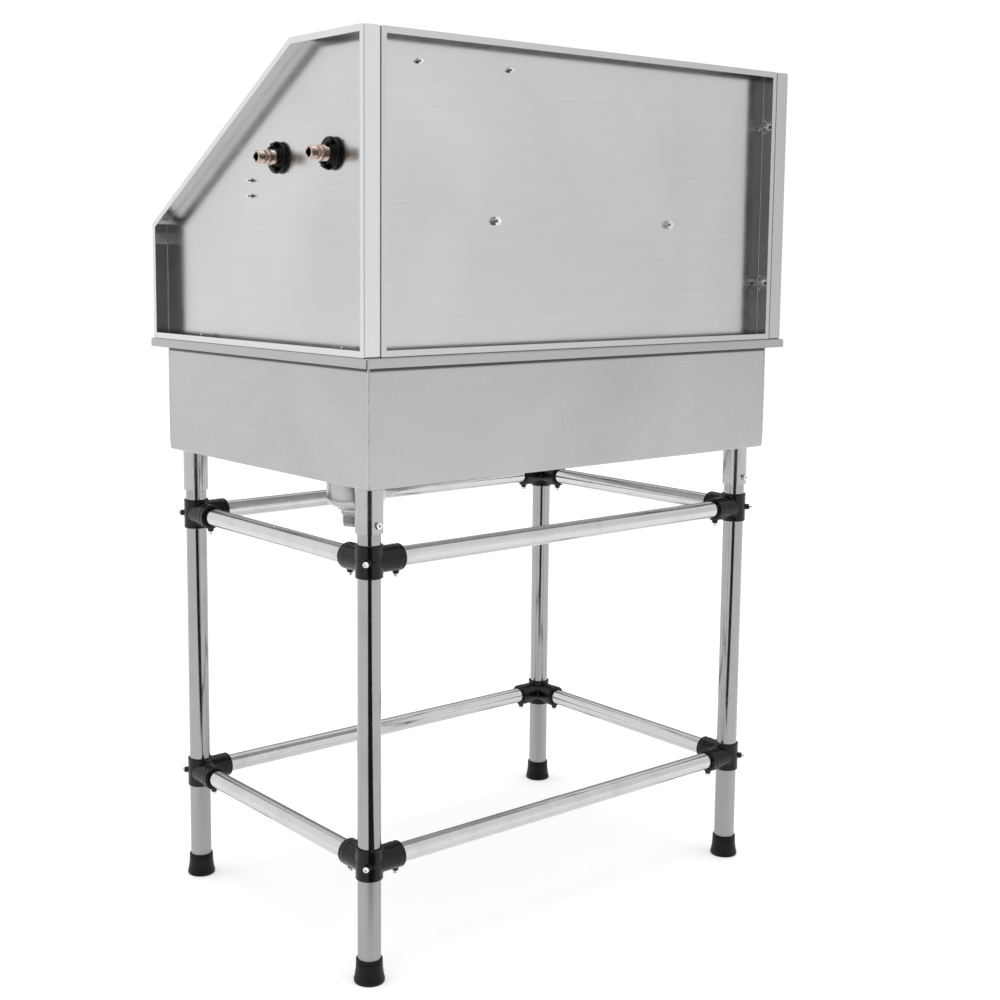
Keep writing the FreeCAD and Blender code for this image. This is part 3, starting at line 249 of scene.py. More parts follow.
def polished_metal(name, tone, roughness, grain, stain=OLD_STAIN, staining=0.25, dull_below=-1.0):
    """Drawn and polished tube, plated brass or a bright screw: fine lines, dull spots, light stains.

    Below the height dull_below the tube was left unpolished.
    """
    material, new, links = start_material(name)
    colour_frame = new.new("NodeFrame")
    colour_frame.label = "Colour: light stains"
    gloss_frame = new.new("NodeFrame")
    gloss_frame.label = "Gloss: polishing and dull spots"
    relief_frame = new.new("NodeFrame")
    relief_frame.label = "Relief: drawn lines"
    place = new.new("ShaderNodeTexCoord")
    place.label = "Place on the metal"
    stains = new.new("ShaderNodeTexNoise")
    stains.label = "Stains"
    stain_share = new.new("ShaderNodeMapRange")
    stain_share.label = "Where it is stained"
    stain_tone = new.new("ShaderNodeMix")
    stain_tone.label = "Clean or stained"
    spots = new.new("ShaderNodeTexNoise")
    spots.label = "Dull spots"
    spot_gloss = new.new("ShaderNodeMapRange")
    spot_gloss.label = "Gloss of the spots"
    dull_frame = new.new("NodeFrame")
    dull_frame.label = "Unpolished end of the tube"
    height = new.new("ShaderNodeSeparateXYZ")
    height.label = "Height"
    dull_share = new.new("ShaderNodeMapRange")
    dull_share.label = "Below the polishing"
    dull_tone = new.new("ShaderNodeMix")
    dull_tone.label = "Tone of the dull end"
    dull_gloss = new.new("ShaderNodeMix")
    dull_gloss.label = "Gloss of the dull end"
    stretch = new.new("ShaderNodeMapping")
    stretch.label = "Stretch along the drawing"
    lines = new.new("ShaderNodeTexNoise")
    lines.label = "Drawn lines"
    line_bump = new.new("ShaderNodeBump")
    line_bump.label = "Lines"
    metal = new.new("ShaderNodeBsdfPrincipled")
    metal.label = "Bright metal"
    output = new.new("ShaderNodeOutputMaterial")
    output.label = "Surface"
    for node, group, x, y in (
            (place, None, -1200, 0), (stains, colour_frame, -900, 420),
            (stain_share, colour_frame, -680, 420), (stain_tone, colour_frame, -440, 420),
            (spots, gloss_frame, -900, 60), (spot_gloss, gloss_frame, -680, 60),
            (height, dull_frame, -900, 820), (dull_share, dull_frame, -680, 820),
            (dull_tone, dull_frame, -240, 820), (dull_gloss, dull_frame, -240, 620),
            (stretch, relief_frame, -980, -320), (lines, relief_frame, -760, -320),
            (line_bump, relief_frame, -460, -320), (metal, None, 0, 200), (output, None, 320, 200)):
        node.parent = group
        node.location = (x, y)
    stains.inputs["Scale"].default_value = 22
    stains.inputs["Detail"].default_value = 4
    stain_share.inputs["From Min"].default_value = 0.5
    stain_share.inputs["From Max"].default_value = 0.8
    stain_share.inputs["To Max"].default_value = staining
    stain_tone.data_type = "RGBA"
    stain_tone.inputs["A"].default_value = (*tone, 1)
    stain_tone.inputs["B"].default_value = (*[a * b for a, b in zip(tone, stain)], 1)
    spots.inputs["Scale"].default_value = 60
    spots.inputs["Detail"].default_value = 5
    spots.inputs["Distortion"].default_value = 0.8
    spot_gloss.inputs["From Min"].default_value = 0.35
    spot_gloss.inputs["From Max"].default_value = 0.8
    spot_gloss.inputs["To Min"].default_value = roughness * 0.85
    spot_gloss.inputs["To Max"].default_value = roughness * 1.7
    dull_share.inputs["From Min"].default_value = dull_below + DULL_FADE
    dull_share.inputs["From Max"].default_value = dull_below - DULL_FADE
    dull_tone.data_type = "RGBA"
    dull_tone.inputs["B"].default_value = DULL_TONE
    dull_gloss.inputs["B"].default_value = DULL_GLOSS
    stretch.inputs["Scale"].default_value = grain
    lines.inputs["Scale"].default_value = 1
    lines.inputs["Detail"].default_value = 3
    line_bump.inputs["Strength"].default_value = 0.08
    line_bump.inputs["Distance"].default_value = 0.0001
    metal.inputs["Metallic"].default_value = 1
    links.new(place.outputs["Object"], stains.inputs["Vector"])
    links.new(place.outputs["Object"], spots.inputs["Vector"])
    links.new(place.outputs["Object"], stretch.inputs["Vector"])
    links.new(stretch.outputs["Vector"], lines.inputs["Vector"])
    links.new(stains.outputs["Fac"], stain_share.inputs["Value"])
    links.new(stain_share.outputs["Result"], stain_tone.inputs["Factor"])
    links.new(place.outputs["Object"], height.inputs["Vector"])
    links.new(height.outputs["Z"], dull_share.inputs["Value"])
    links.new(dull_share.outputs["Result"], dull_tone.inputs["Factor"])
    links.new(stain_tone.outputs["Result"], dull_tone.inputs["A"])
    links.new(dull_tone.outputs["Result"], metal.inputs["Base Color"])
    links.new(spots.outputs["Fac"], spot_gloss.inputs["Value"])
    links.new(dull_share.outputs["Result"], dull_gloss.inputs["Factor"])
    links.new(spot_gloss.outputs["Result"], dull_gloss.inputs["A"])
    links.new(dull_gloss.outputs["Result"], metal.inputs["Roughness"])
    links.new(lines.outputs["Fac"], line_bump.inputs["Height"])
    links.new(line_bump.outputs["Normal"], metal.inputs["Normal"])
    links.new(metal.outputs["BSDF"], output.inputs["Surface"])
    return material


def moulded_black(name, tone, roughness, texture, relief, dust=0.05, shine=0.5):
    """Black moulded plastic or rubber: fine mould texture, uneven gloss and a trace of dust."""
    material, new, links = start_material(name)
    colour_frame = new.new("NodeFrame")
    colour_frame.label = "Colour: dust and handling"
    gloss_frame = new.new("NodeFrame")
    gloss_frame.label = "Gloss: flow marks"
    relief_frame = new.new("NodeFrame")
    relief_frame.label = "Relief: mould texture"
    place = new.new("ShaderNodeTexCoord")
    place.label = "Place on the moulding"
    dusty = new.new("ShaderNodeTexNoise")
    dusty.label = "Dust"
    dust_share = new.new("ShaderNodeMapRange")
    dust_share.label = "Where dust lies"
    dust_tone = new.new("ShaderNodeMix")
    dust_tone.label = "Clean or dusty"
    flow = new.new("ShaderNodeTexNoise")
    flow.label = "Flow marks"
    flow_gloss = new.new("ShaderNodeMapRange")
    flow_gloss.label = "Gloss of the flow marks"
    grain = new.new("ShaderNodeTexNoise")
    grain.label = "Mould texture"
    grain_bump = new.new("ShaderNodeBump")
    grain_bump.label = "Texture"
    plastic = new.new("ShaderNodeBsdfPrincipled")
    plastic.label = "Black moulding"
    output = new.new("ShaderNodeOutputMaterial")
    output.label = "Surface"
    for node, group, x, y in (
            (place, None, -1200, 0), (dusty, colour_frame, -900, 420),
            (dust_share, colour_frame, -680, 420), (dust_tone, colour_frame, -440, 420),
            (flow, gloss_frame, -900, 60), (flow_gloss, gloss_frame, -680, 60),
            (grain, relief_frame, -760, -320), (grain_bump, relief_frame, -460, -320),
            (plastic, None, 0, 200), (output, None, 320, 200)):
        node.parent = group
        node.location = (x, y)
    dusty.inputs["Scale"].default_value = 45
    dusty.inputs["Detail"].default_value = 6
    dust_share.inputs["From Min"].default_value = 0.48
    dust_share.inputs["From Max"].default_value = 0.85
    dust_share.inputs["To Max"].default_value = dust
    dust_tone.data_type = "RGBA"
    dust_tone.inputs["A"].default_value = (tone, tone, tone * 1.05, 1)
    dust_tone.inputs["B"].default_value = (0.42, 0.41, 0.39, 1)
    flow.inputs["Scale"].default_value = 26
    flow.inputs["Detail"].default_value = 3
    flow.inputs["Distortion"].default_value = 1.2
    flow_gloss.inputs["To Min"].default_value = roughness * 0.85
    flow_gloss.inputs["To Max"].default_value = roughness * 1.2
    grain.inputs["Scale"].default_value = texture
    grain.inputs["Detail"].default_value = 2
    grain_bump.inputs["Strength"].default_value = relief
    grain_bump.inputs["Distance"].default_value = 0.0003
    plastic.inputs["Specular IOR Level"].default_value = shine
    links.new(place.outputs["Object"], dusty.inputs["Vector"])
    links.new(place.outputs["Object"], flow.inputs["Vector"])
    links.new(place.outputs["Object"], grain.inputs["Vector"])
    links.new(dusty.outputs["Fac"], dust_share.inputs["Value"])
    links.new(dust_share.outputs["Result"], dust_tone.inputs["Factor"])
    links.new(dust_tone.outputs["Result"], plastic.inputs["Base Color"])
    links.new(flow.outputs["Fac"], flow_gloss.inputs["Value"])
    links.new(flow_gloss.outputs["Result"], plastic.inputs["Roughness"])
    links.new(grain.outputs["Fac"], grain_bump.inputs["Height"])
    links.new(grain_bump.outputs["Normal"], plastic.inputs["Normal"])
    links.new(plastic.outputs["BSDF"], output.inputs["Surface"])
    return material


LEVEL_GRAIN = (3, 3, 700)
ROUND_GRAIN = (60, 60, 300)
SHEET_TONE = 0.57
SHEET_ROUGH = 0.21
# a lighter tone on the panels' folded flanges is a painted highlight; their lower roughness is their own
FOLD_HIGHLIGHT_FINISH = (0.66, 0.13)
# a near-black band under the basin's rim: painted shade
RIM_SHADOW_FINISH = (0.09, 0.45)
STRIP_ROUGH = 0.20
# where the bands start: along X or Y for the panels' folds and strips, in height for the painted shade
# under the basin's rim and for the rim
SIDE_FOLD = 0.452
BACK_FOLD = 0.303
OUTER_STRIP = 0.3292
RIM_SHADOW_START = 0.9915
RIM_FACE = 0.9990
# the outer strips' tones are painted light and shade, set per panel: lighter on this panel than on the
# left and back panels
PANEL_STEEL = sheet_steel("panel_sheet_steel", SHEET_TONE, SHEET_ROUGH, LEVEL_GRAIN,
                          inner=((1, 0, 0), SIDE_FOLD, *FOLD_HIGHLIGHT_FINISH),
                          outer=((0, 1, 0), OUTER_STRIP, 0.64, STRIP_ROUGH))
PLAIN_WALL_STEEL = sheet_steel("left_sheet_steel", SHEET_TONE, SHEET_ROUGH, LEVEL_GRAIN,
                               inner=((-1, 0, 0), SIDE_FOLD, *FOLD_HIGHLIGHT_FINISH),
                               outer=((0, 1, 0), OUTER_STRIP, 0.52, STRIP_ROUGH))
BACK_STEEL = sheet_steel("back_sheet_steel", SHEET_TONE, SHEET_ROUGH, LEVEL_GRAIN,
                         inner=((0, 1, 0), BACK_FOLD, *FOLD_HIGHLIGHT_FINISH),
                         outer=((0, 1, 0), OUTER_STRIP, 0.54, STRIP_ROUGH))
# the basin's near-black band under the rim is painted shade, and the rim's tone, darker than the sheet,
# is painted shade too
BASIN_STEEL = sheet_steel("basin_sheet_steel", 0.46, 0.27, (4, 4, 600), handling=0.6,
                          inner=((0, 0, 1), RIM_SHADOW_START, *RIM_SHADOW_FINISH),
                          outer=((0, 0, 1), RIM_FACE, 0.42, 0.24))
RACK_STEEL = sheet_steel("rack_sheet_steel", 0.62, 0.30, (3, 600, 600))
CUP_STEEL = sheet_steel("drain_cup_steel", 0.50, 0.24, (4, 4, 900), handling=0.9)
WELD_STEEL = sheet_steel("ground_weld_steel", 0.56, 0.24, ROUND_GRAIN, handling=1.6)
TAB_STEEL = sheet_steel("lap_tab_steel", 0.62, 0.42, ROUND_GRAIN, handling=1.6)

LEG_TONE = (0.335, 0.338, 0.342)
SOCKET_TONE = (0.42, 0.423, 0.427)
RAIL_TONE = (0.58, 0.585, 0.59)
BRASS_TONE = (0.56, 0.445, 0.385)
BRASS_STAIN = (0.62, 0.55, 0.5)
# near-black: painted shade inside the inlets' bores
BORE_SHADE_TONE = (0.035, 0.024, 0.02)
TUBE_GLOSS = 0.105
LOWER_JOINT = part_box("lower_connector_back_right")[0].z
ALONG_X = (3, 900, 900)
ALONG_Y = (900, 3, 900)
ALONG_Z = (900, 900, 3)
ALONG_SHANK = (30, 800, 800)
UPRIGHT_TUBE = polished_metal("leg_tube_steel", LEG_TONE, TUBE_GLOSS, ALONG_Z, dull_below=LOWER_JOINT)
SOCKET_TUBE = polished_metal("socket_tube_steel", SOCKET_TONE, 0.13, ALONG_Z)
CROSS_TUBE = polished_metal("cross_rail_steel", RAIL_TONE, TUBE_GLOSS, ALONG_X)
SIDE_TUBE = polished_metal("side_rail_steel", RAIL_TONE, TUBE_GLOSS, ALONG_Y)
SCREW_STEEL = polished_metal("screw_steel", (0.78, 0.78, 0.79), 0.14, (300, 300, 300))
CHROME = polished_metal("faucet_chrome_plate", (0.86, 0.87, 0.88), 0.06, (200, 200, 200), staining=0.08)
BRASS = polished_metal("inlet_brass_bare", BRASS_TONE, 0.17, ALONG_SHANK, stain=BRASS_STAIN,
                       staining=0.5)
BORE_SHADE_BRASS = polished_metal("bore_brass_painted_shade", BORE_SHADE_TONE, 0.5, ALONG_SHANK)

JOINT_BLACK = moulded_black("joint_moulding", 0.003, 0.17, 900, 0.10, dust=0.006, shine=0.26)
NUT_BLACK = moulded_black("wing_nut_moulding", 0.002, 0.12, 500, 0.05, dust=0.004, shine=0.24)
FOOT_RUBBER = moulded_black("foot_rubber_moulding", 0.004, 0.42, 1200, 0.25, dust=0.02, shine=0.18)
SEAL_RUBBER = moulded_black("seal_rubber_ring", 0.012, 0.60, 900, 0.25, shine=0.3)
HOLDER_BLACK = moulded_black("holder_moulding", 0.014, 0.34, 800, 0.16)

FINISH_OF_SLOT = {
    "basin_steel": BASIN_STEEL, "panel_steel": PANEL_STEEL, "rack_steel": RACK_STEEL,
    "strainer_steel": RACK_STEEL, "drain_steel": CUP_STEEL, "tube_steel": UPRIGHT_TUBE,
    "zinc_screws": SCREW_STEEL, "faucet_chrome": CHROME, "inlet_brass": BRASS,
    "joint_plastic": JOINT_BLACK, "nut_plastic": NUT_BLACK, "drain_plastic": HOLDER_BLACK,
    "holder_plastic": HOLDER_BLACK, "foot_rubber": FOOT_RUBBER, "seal_rubber": SEAL_RUBBER,
}
RAIL_FINISH = {"front": CROSS_TUBE, "back": CROSS_TUBE, "left": SIDE_TUBE, "right": SIDE_TUBE}


def dress(name, material):
    """Give a carried-over node its finish."""
    mesh = nodes[name].data
    if not mesh.materials:
        mesh.materials.append(material)
    for k in range(len(mesh.materials)):
        mesh.materials[k] = material


for entry in frame["record"]["subparts"]:
    dress(entry["node"], FINISH_OF_SLOT[entry["material_slot"]])
for level in ("upper", "lower"):
    for side, material in RAIL_FINISH.items():
        dress("%s_rail_%s" % (level, side), material)
dress("back_splash_panel", BACK_STEEL)
dress("left_splash_panel", PLAIN_WALL_STEEL)
for corner in CORNERS:
    dress("leg_socket_" + corner, SOCKET_TUBE)


# ---------------------------------------------------------------- making and placing pieces

def place_piece(piece, body, slot, material, *replaced):
    """Dress a finished piece, set it on its body, and hide the nodes it replaces. slot is not used."""
    piece.data.materials.clear()
    piece.data.materials.append(material)
    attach(piece, body)
    if replaced:
        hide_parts(*replaced)


def new_piece(name, mesh):
    """An object for a mesh or a curve, in the scene."""
    piece = bpy.data.objects.new(name, mesh)
    bpy.context.scene.collection.objects.link(piece)
    return piece


def settle(piece, where=None, crease=SHARP):
    """Apply the piece's stack and its place, so that the object itself stays at the origin."""
    bpy.context.view_layer.update()
    shaped = piece.evaluated_get(bpy.context.evaluated_depsgraph_get())
    mesh = bpy.data.meshes.new_from_object(shaped)
    piece.modifiers.clear()
    old = piece.data
    piece.data = mesh
    bpy.data.meshes.remove(old)
    if where is not None:
        mesh.transform(where)
    mesh.shade_smooth()
    mesh.set_sharp_from_angle(angle=crease)
    return piece


def turn(name, profile, steps=72):
    """A turned shape about +Z from a profile of (radius, height) in millimetres, from its top down."""
    outline = bmesh.new()
    corners = [outline.verts.new((radius * MM, 0, height * MM)) for radius, height in profile]
    for upper, lower in zip(corners, corners[1:]):
        outline.edges.new((upper, lower))
    mesh = bpy.data.meshes.new(name)
    outline.to_mesh(mesh)
    outline.free()
    piece = new_piece(name, mesh)
    lathe = piece.modifiers.new("Lathe", "SCREW")
    lathe.steps = steps
    lathe.render_steps = steps
    lathe.use_merge_vertices = True
    lathe.merge_threshold = 0.01 * MM
    return piece


def stacked(name, pieces):
    """Join finished pieces into one object."""
    whole = bmesh.new()
    for piece in pieces:
        whole.from_mesh(piece.data)
        old = piece.data
        bpy.data.objects.remove(piece)
        bpy.data.meshes.remove(old)
    mesh = bpy.data.meshes.new(name)
    whole.to_mesh(mesh)
    whole.free()
    mesh.shade_smooth()
    mesh.set_sharp_from_angle(angle=SHARP)
    return new_piece(name, mesh)


def thread(top, bottom, crest, root, pitch):
    """The zigzag of a thread's profile, from its top down."""
    turns = int((top - bottom) / pitch)
    profile = []
    for k in range(turns):
        profile.append((crest, top - (k + 0.25) * pitch))
        profile.append((root, top - (k + 0.75) * pitch))
    return profile


def cast_from(name, node, cell, rounding, extra=()):
    """A moulded or cast copy of a node: remeshed in small cells and smoothed, so its edges are round.

    extra is a list of closed meshes that are moulded on as one with the node's own shape.
    """
    blank = bmesh.new()
    blank.from_mesh(nodes[node].data)
    bmesh.ops.remove_doubles(blank, verts=blank.verts, dist=0.01 * MM)
    for mesh in extra:
        blank.from_mesh(mesh)
        bpy.data.meshes.remove(mesh)
    mesh = bpy.data.meshes.new(name)
    blank.to_mesh(mesh)
    blank.free()
    piece = new_piece(name, mesh)
    cells = piece.modifiers.new("Cells", "REMESH")
    cells.mode = "VOXEL"
    cells.voxel_size = cell
    cells.adaptivity = 0
    soft = piece.modifiers.new("Soft edges", "SMOOTH")
    soft.factor = 0.5
    soft.iterations = rounding
    return settle(piece, crease=math.radians(180))


def centre_of(node):
    """The middle of a node's box at rest."""
    low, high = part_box(node)
    return (low + high) / 2


# ---------------------------------------------------------------- corner joints

RING_SIDES = 8


def ring_mesh(radius, thickness, where, steps=48):
    """A closed ring of round section, about +Z before where places it."""
    ring = bmesh.new()
    sections = []
    for k in range(steps):
        angle = 2 * math.pi * k / steps
        section = []
        for j in range(RING_SIDES):
            tilt = 2 * math.pi * j / RING_SIDES
            reach = radius + thickness * math.cos(tilt)
            rise = thickness * math.sin(tilt)
            section.append(ring.verts.new((reach * math.cos(angle), reach * math.sin(angle), rise)))
        sections.append(section)
    for near, far in zip(sections, sections[1:] + sections[:1]):
        for j in range(RING_SIDES):
            following = (j + 1) % RING_SIDES
            ring.faces.new((near[j], far[j], far[following], near[following]))
    bmesh.ops.recalc_face_normals(ring, faces=ring.faces)
    mesh = bpy.data.meshes.new("ring")
    ring.to_mesh(mesh)
    ring.free()
    mesh.transform(where)
    return mesh


joint_low, joint_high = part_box("upper_connector_back_right")
JOINT_HALF = (joint_high.z - joint_low.z) / 2
COLLAR_RADIUS = 22.0 * MM
COLLAR_RIB = 1.1 * MM
LIP_RIB = COLLAR_RIB * 0.8
LIP_INSET = 2 * MM
SOCKET_RADIUS = 21.3 * MM
# each socket's ribs: how far out from the leg, and how thick
SOCKET_RIBS = ((56 * MM, 1.0 * MM), (47 * MM, 1.1 * MM))
JOINT_CELL = 1.1 * MM
ACROSS_X = Matrix.Rotation(math.pi / 2, 4, "Y")
ACROSS_Y = Matrix.Rotation(math.pi / 2, 4, "X")
for corner in CORNERS:
    toward_x = 1 if corner.endswith("left") else -1
    toward_y = 1 if corner.startswith("front") else -1
    leg = centre_of("leg_" + corner)
    for level in ("upper", "lower"):
        node = "%s_connector_%s" % (level, corner)
        middle = Vector((leg.x, leg.y, centre_of(node).z))
        end = Vector((0, 0, JOINT_HALF - LIP_INSET))
        ribs = [ring_mesh(COLLAR_RADIUS, COLLAR_RIB, Matrix.Translation(middle)),
                ring_mesh(COLLAR_RADIUS, LIP_RIB, Matrix.Translation(middle - end)),
                ring_mesh(COLLAR_RADIUS, LIP_RIB, Matrix.Translation(middle + end))]
        for reach, thick in SOCKET_RIBS:
            on_x = Matrix.Translation(middle + Vector((toward_x * reach, 0, 0)))
            on_y = Matrix.Translation(middle + Vector((0, toward_y * reach, 0)))
            ribs.append(ring_mesh(SOCKET_RADIUS, thick, on_x @ ACROSS_X))
            ribs.append(ring_mesh(SOCKET_RADIUS, thick, on_y @ ACROSS_Y))
        joint = cast_from("%s_joint_%s" % (level, corner), node, JOINT_CELL, 5, ribs)
        place_piece(joint, "tub", "joint_plastic", JOINT_BLACK, node)

# ---------------------------------------------------------------- feet

# an inner cup that the leg stands in, a rolled lip, a flared side and a ringed sole
FOOT_PROFILE = (
    (0.0, 6.0), (19.05, 6.0), (19.05, 39.0), (20.2, 40.0), (21.0, 39.8), (21.7, 38.9), (21.9, 37.6),
    (21.9, 36.6), (21.2, 35.9), (21.1, 35.2), (21.9, 34.4), (22.0, 29.0), (22.3, 24.0), (22.9, 18.0),
    (23.8, 12.0), (24.7, 8.0), (25.3, 6.2), (25.5, 5.2), (25.5, 2.4), (25.2, 1.2), (24.4, 0.3),
    (23.0, 0.0), (20.5, 0.0), (20.0, 0.8), (16.5, 0.8), (16.0, 0.0), (12.5, 0.0), (12.0, 0.8),
    (8.5, 0.8), (8.0, 0.0), (0.0, 0.0),
)
SOFT_CREASE = math.radians(50)
for corner in CORNERS:
    leg = centre_of("leg_" + corner)
    foot = turn("rubber_foot_" + corner, FOOT_PROFILE)
    settle(foot, Matrix.Translation((leg.x, leg.y, 0)), crease=SOFT_CREASE)
    place_piece(foot, "tub", "foot_rubber", FOOT_RUBBER, "foot_" + corner)

# ---------------------------------------------------------------- water inlets

# the inlets point out along +X, with their profiles' zero at the inner end of the shank
OUTWARD = Matrix.Rotation(math.pi / 2, 4, "Y")
PANEL_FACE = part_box("inlet_nuts")[0].x
shank_low, shank_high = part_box("hot_inlet_shank")
INLET_ROOT = shank_low.x
TIP = (shank_high.x - shank_low.x) / MM


def inlet_shank(label):
    """Brass: a threaded shank through the wall, a collar, a step and a threaded nipple with a bore."""
    profile = [(7.0, TIP - 1.0), (7.6, TIP), (9.0, TIP), (9.9, TIP - 0.8), (9.9, TIP - 1.4)]
    profile += thread(TIP - 1.4, TIP - 12.5, 10.2, 9.75, 1.35)
    profile += [(9.7, TIP - 13.0), (10.0, TIP - 13.8), (10.2, TIP - 14.2), (10.2, TIP - 17.4),
                (11.8, TIP - 18.0), (12.8, TIP - 18.4), (13.2, TIP - 19.3), (13.2, TIP - 22.6)]
    profile += thread(TIP - 22.6, TIP - 46.0, 13.2, 12.7, 1.5)
    profile += [(13.2, TIP - 50.0), (15.0, TIP - 54.5), (15.0, 10.0), (10.6, 10.0), (10.6, 0.0),
                (7.0, 0.0), (7.0, TIP - 1.0)]
    return turn(label + "_inlet", profile, steps=64)


def bore_shade_lining(label):
    """Painted shade inside an inlet's bore: a near-black lining, with the check valve's disc at its
    bottom.
    """
    profile = [(6.6, TIP - 2.0), (6.95, TIP - 2.0), (6.95, TIP - 30.0), (0.0, TIP - 30.0),
               (0.0, TIP - 26.0), (6.6, TIP - 26.0), (6.6, TIP - 2.0)]
    return turn(label + "_bore_painted_shade", profile, steps=48)


for label in ("cold", "hot"):
    node = label + "_inlet_shank"
    middle = centre_of(node)
    where = Matrix.Translation((INLET_ROOT, middle.y, middle.z)) @ OUTWARD
    place_piece(settle(inlet_shank(label), where), "tub", "inlet_brass", BRASS, node)
    # the bore's near-black lining is painted shade
    place_piece(settle(bore_shade_lining(label), where), "tub", "inlet_brass", BORE_SHADE_BRASS)

NUT_PROFILE = (
    (13.3, 11.5), (16.4, 11.5), (17.0, 10.9), (17.6, 5.6), (18.6, 4.4), (20.8, 4.2), (22.0, 5.0),
    (23.4, 6.0), (24.6, 6.2), (25.6, 5.6), (26.0, 4.6), (26.0, 3.2), (25.2, 2.8), (24.8, 2.2),
    (25.0, 1.4), (24.8, 0.4), (24.0, 0.0), (13.3, 0.0), (13.3, 11.5),
)
# an ear is a thick root and a thin blade, each its distance out, width, thickness, bottom and top
EAR_BLOCKS = ((19.5, 13.0, 7.0, 1.5, 12.5), (15.6, 11.5, 3.2, 4.0, 17.5))
EAR_TAPER = 0.8
EAR_ROUNDING = 1.1 * MM


def inlet_nut(name, lean):
    """A black moulded nut: a dished ring with a rolled rim, a round hub and two ears; lean turns it."""
    ring = settle(turn(name, NUT_PROFILE, steps=80))
    ears = bmesh.new()
    for side in (1, -1):
        for reach, wide, thick, low, high in EAR_BLOCKS:
            for vert in bmesh.ops.create_cube(ears, size=1)["verts"]:
                narrow, height = (EAR_TAPER, high) if vert.co.z > 0 else (1.0, low)
                out = side * (reach + vert.co.x * thick)
                vert.co = Vector((out, vert.co.y * wide * narrow, height)) * MM
    bmesh.ops.recalc_face_normals(ears, faces=ears.faces)
    ear_mesh = bpy.data.meshes.new(name + "_ears")
    ears.to_mesh(ear_mesh)
    ears.free()
    ear_piece = new_piece(name + "_ears", ear_mesh)
    edge = ear_piece.modifiers.new("Rounded", "BEVEL")
    edge.width = EAR_ROUNDING
    edge.segments = 3
    nut = stacked(name, [ring, settle(ear_piece)])
    nut.data.transform(Matrix.Rotation(lean, 4, "Z"))
    return nut


for label, lean in (("cold", math.radians(4)), ("hot", math.radians(-24))):
    middle = centre_of(label + "_inlet_shank")
    nut = inlet_nut(label + "_wing_nut", lean)
    nut.data.transform(Matrix.Translation((PANEL_FACE, middle.y, middle.z)) @ OUTWARD)
    place_piece(nut, "tub", "nut_plastic", NUT_BLACK, "inlet_nuts")

# ---------------------------------------------------------------- drain

DRAIN = centre_of("drain_cup")
DRAIN_PLACE = Matrix.Translation((DRAIN.x, DRAIN.y, 0))
# the heights in the drain's profiles are in millimetres above the floor
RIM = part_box("drain_cup")[1].z / MM
cup = turn("pressed_drain_cup", [
    (51.0, RIM - 72.7), (51.0, RIM - 2.2), (51.6, RIM - 0.7), (53.0, RIM), (59.0, RIM),
    (59.9, RIM - 0.6), (59.9, RIM - 1.2), (52.4, RIM - 1.2), (52.4, RIM - 34.0), (52.0, RIM - 35.2),
    (52.4, RIM - 36.4), (52.4, 743.0), (52.0, 739.5), (50.6, 735.6), (48.0, 732.0), (43.5, 728.9),
    (38.0, 727.0), (34.0, 726.2), (33.0, 725.4), (33.0, 723.4), (31.6, 722.4), (29.0, 722.0),
    (27.4, 721.4), (27.0, 720.0), (27.0, 717.6), (22.6, 717.0), (22.6, 700.0), (21.0, 700.0),
    (21.0, 721.0), (30.0, 723.5), (45.5, 731.0), (50.0, 736.0), (51.0, 741.0)], steps=96)
settle(cup, DRAIN_PLACE, crease=SOFT_CREASE)
place_piece(cup, "tub", "drain_steel", CUP_STEEL, "drain_cup")

spigot_low, spigot_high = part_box("drain_outlet")
TOP = spigot_high.z / MM
BOTTOM = spigot_low.z / MM
spigot_profile = [(22.7, TOP - 0.2), (22.7, TOP), (25.6, TOP), (26.4, TOP - 0.8), (26.4, TOP - 5.0),
                  (25.4, TOP - 6.0), (24.0, TOP - 6.6)]
spigot_profile += thread(TOP - 6.8, BOTTOM + 2.0, 24.0, 22.9, 2.3)
spigot_profile += [(23.4, BOTTOM + 1.2), (22.8, BOTTOM), (21.6, BOTTOM), (21.5, BOTTOM + 1.0),
                   (21.5, BOTTOM + 7.0), (22.7, BOTTOM + 8.0), (22.7, TOP - 0.2)]
spigot = turn("threaded_drain_spigot", spigot_profile, steps=80)
settle(spigot, DRAIN_PLACE, crease=math.radians(30))
place_piece(spigot, "tub", "drain_steel", CUP_STEEL, "drain_outlet")

# ---------------------------------------------------------------- cast and moulded fittings

CAST_ROUNDING = 4
for node, body, slot_name, material, cell in (
        ("wing_nuts", "tub", "zinc_screws", SCREW_STEEL, 0.35 * MM),
        ("faucet_body", "tub", "faucet_chrome", CHROME, 0.8 * MM),
        ("hot_handle", "hot_valve", "faucet_chrome", CHROME, 0.5 * MM),
        ("cold_handle", "cold_valve", "faucet_chrome", CHROME, 0.5 * MM),
        ("sprayer_holder", "tub", "holder_plastic", HOLDER_BLACK, 0.5 * MM)):
    place_piece(cast_from("cast_" + node, node, cell, CAST_ROUNDING), body, slot_name, material, node)


# ---------------------------------------------------------------- welds

BEAD_STEPS = 4


def weld_bead(name, start, end, width, waves):
    """A ground weld: a low rounded strip along a line, its width uneven as it was laid."""
    path = bpy.data.curves.new(name, "CURVE")
    path.dimensions = "3D"
    spline = path.splines.new("POLY")
    count = waves * BEAD_STEPS
    spline.points.add(count)
    for k, point in enumerate(spline.points):
        share = k / count
        point.co = (*Vector(start).lerp(Vector(end), share), 1)
        end_taper = min(1, 12 * share, 12 * (1 - share))
        ripple = 1 + 0.03 * math.sin(math.pi * k / 2) + 0.04 * math.sin(0.37 * k)
        point.radius = (0.5 + 0.5 * end_taper) * ripple
    path.bevel_depth = width / 2
    path.bevel_resolution = 2
    path.use_fill_caps = True
    bead = new_piece(name, path)
    bpy.context.view_layer.update()
    mesh = bpy.data.meshes.new_from_object(bead.evaluated_get(bpy.context.evaluated_depsgraph_get()))
    bpy.data.objects.remove(bead)
    bpy.data.curves.remove(path)
    mesh.shade_smooth()
    return new_piece(name, mesh)


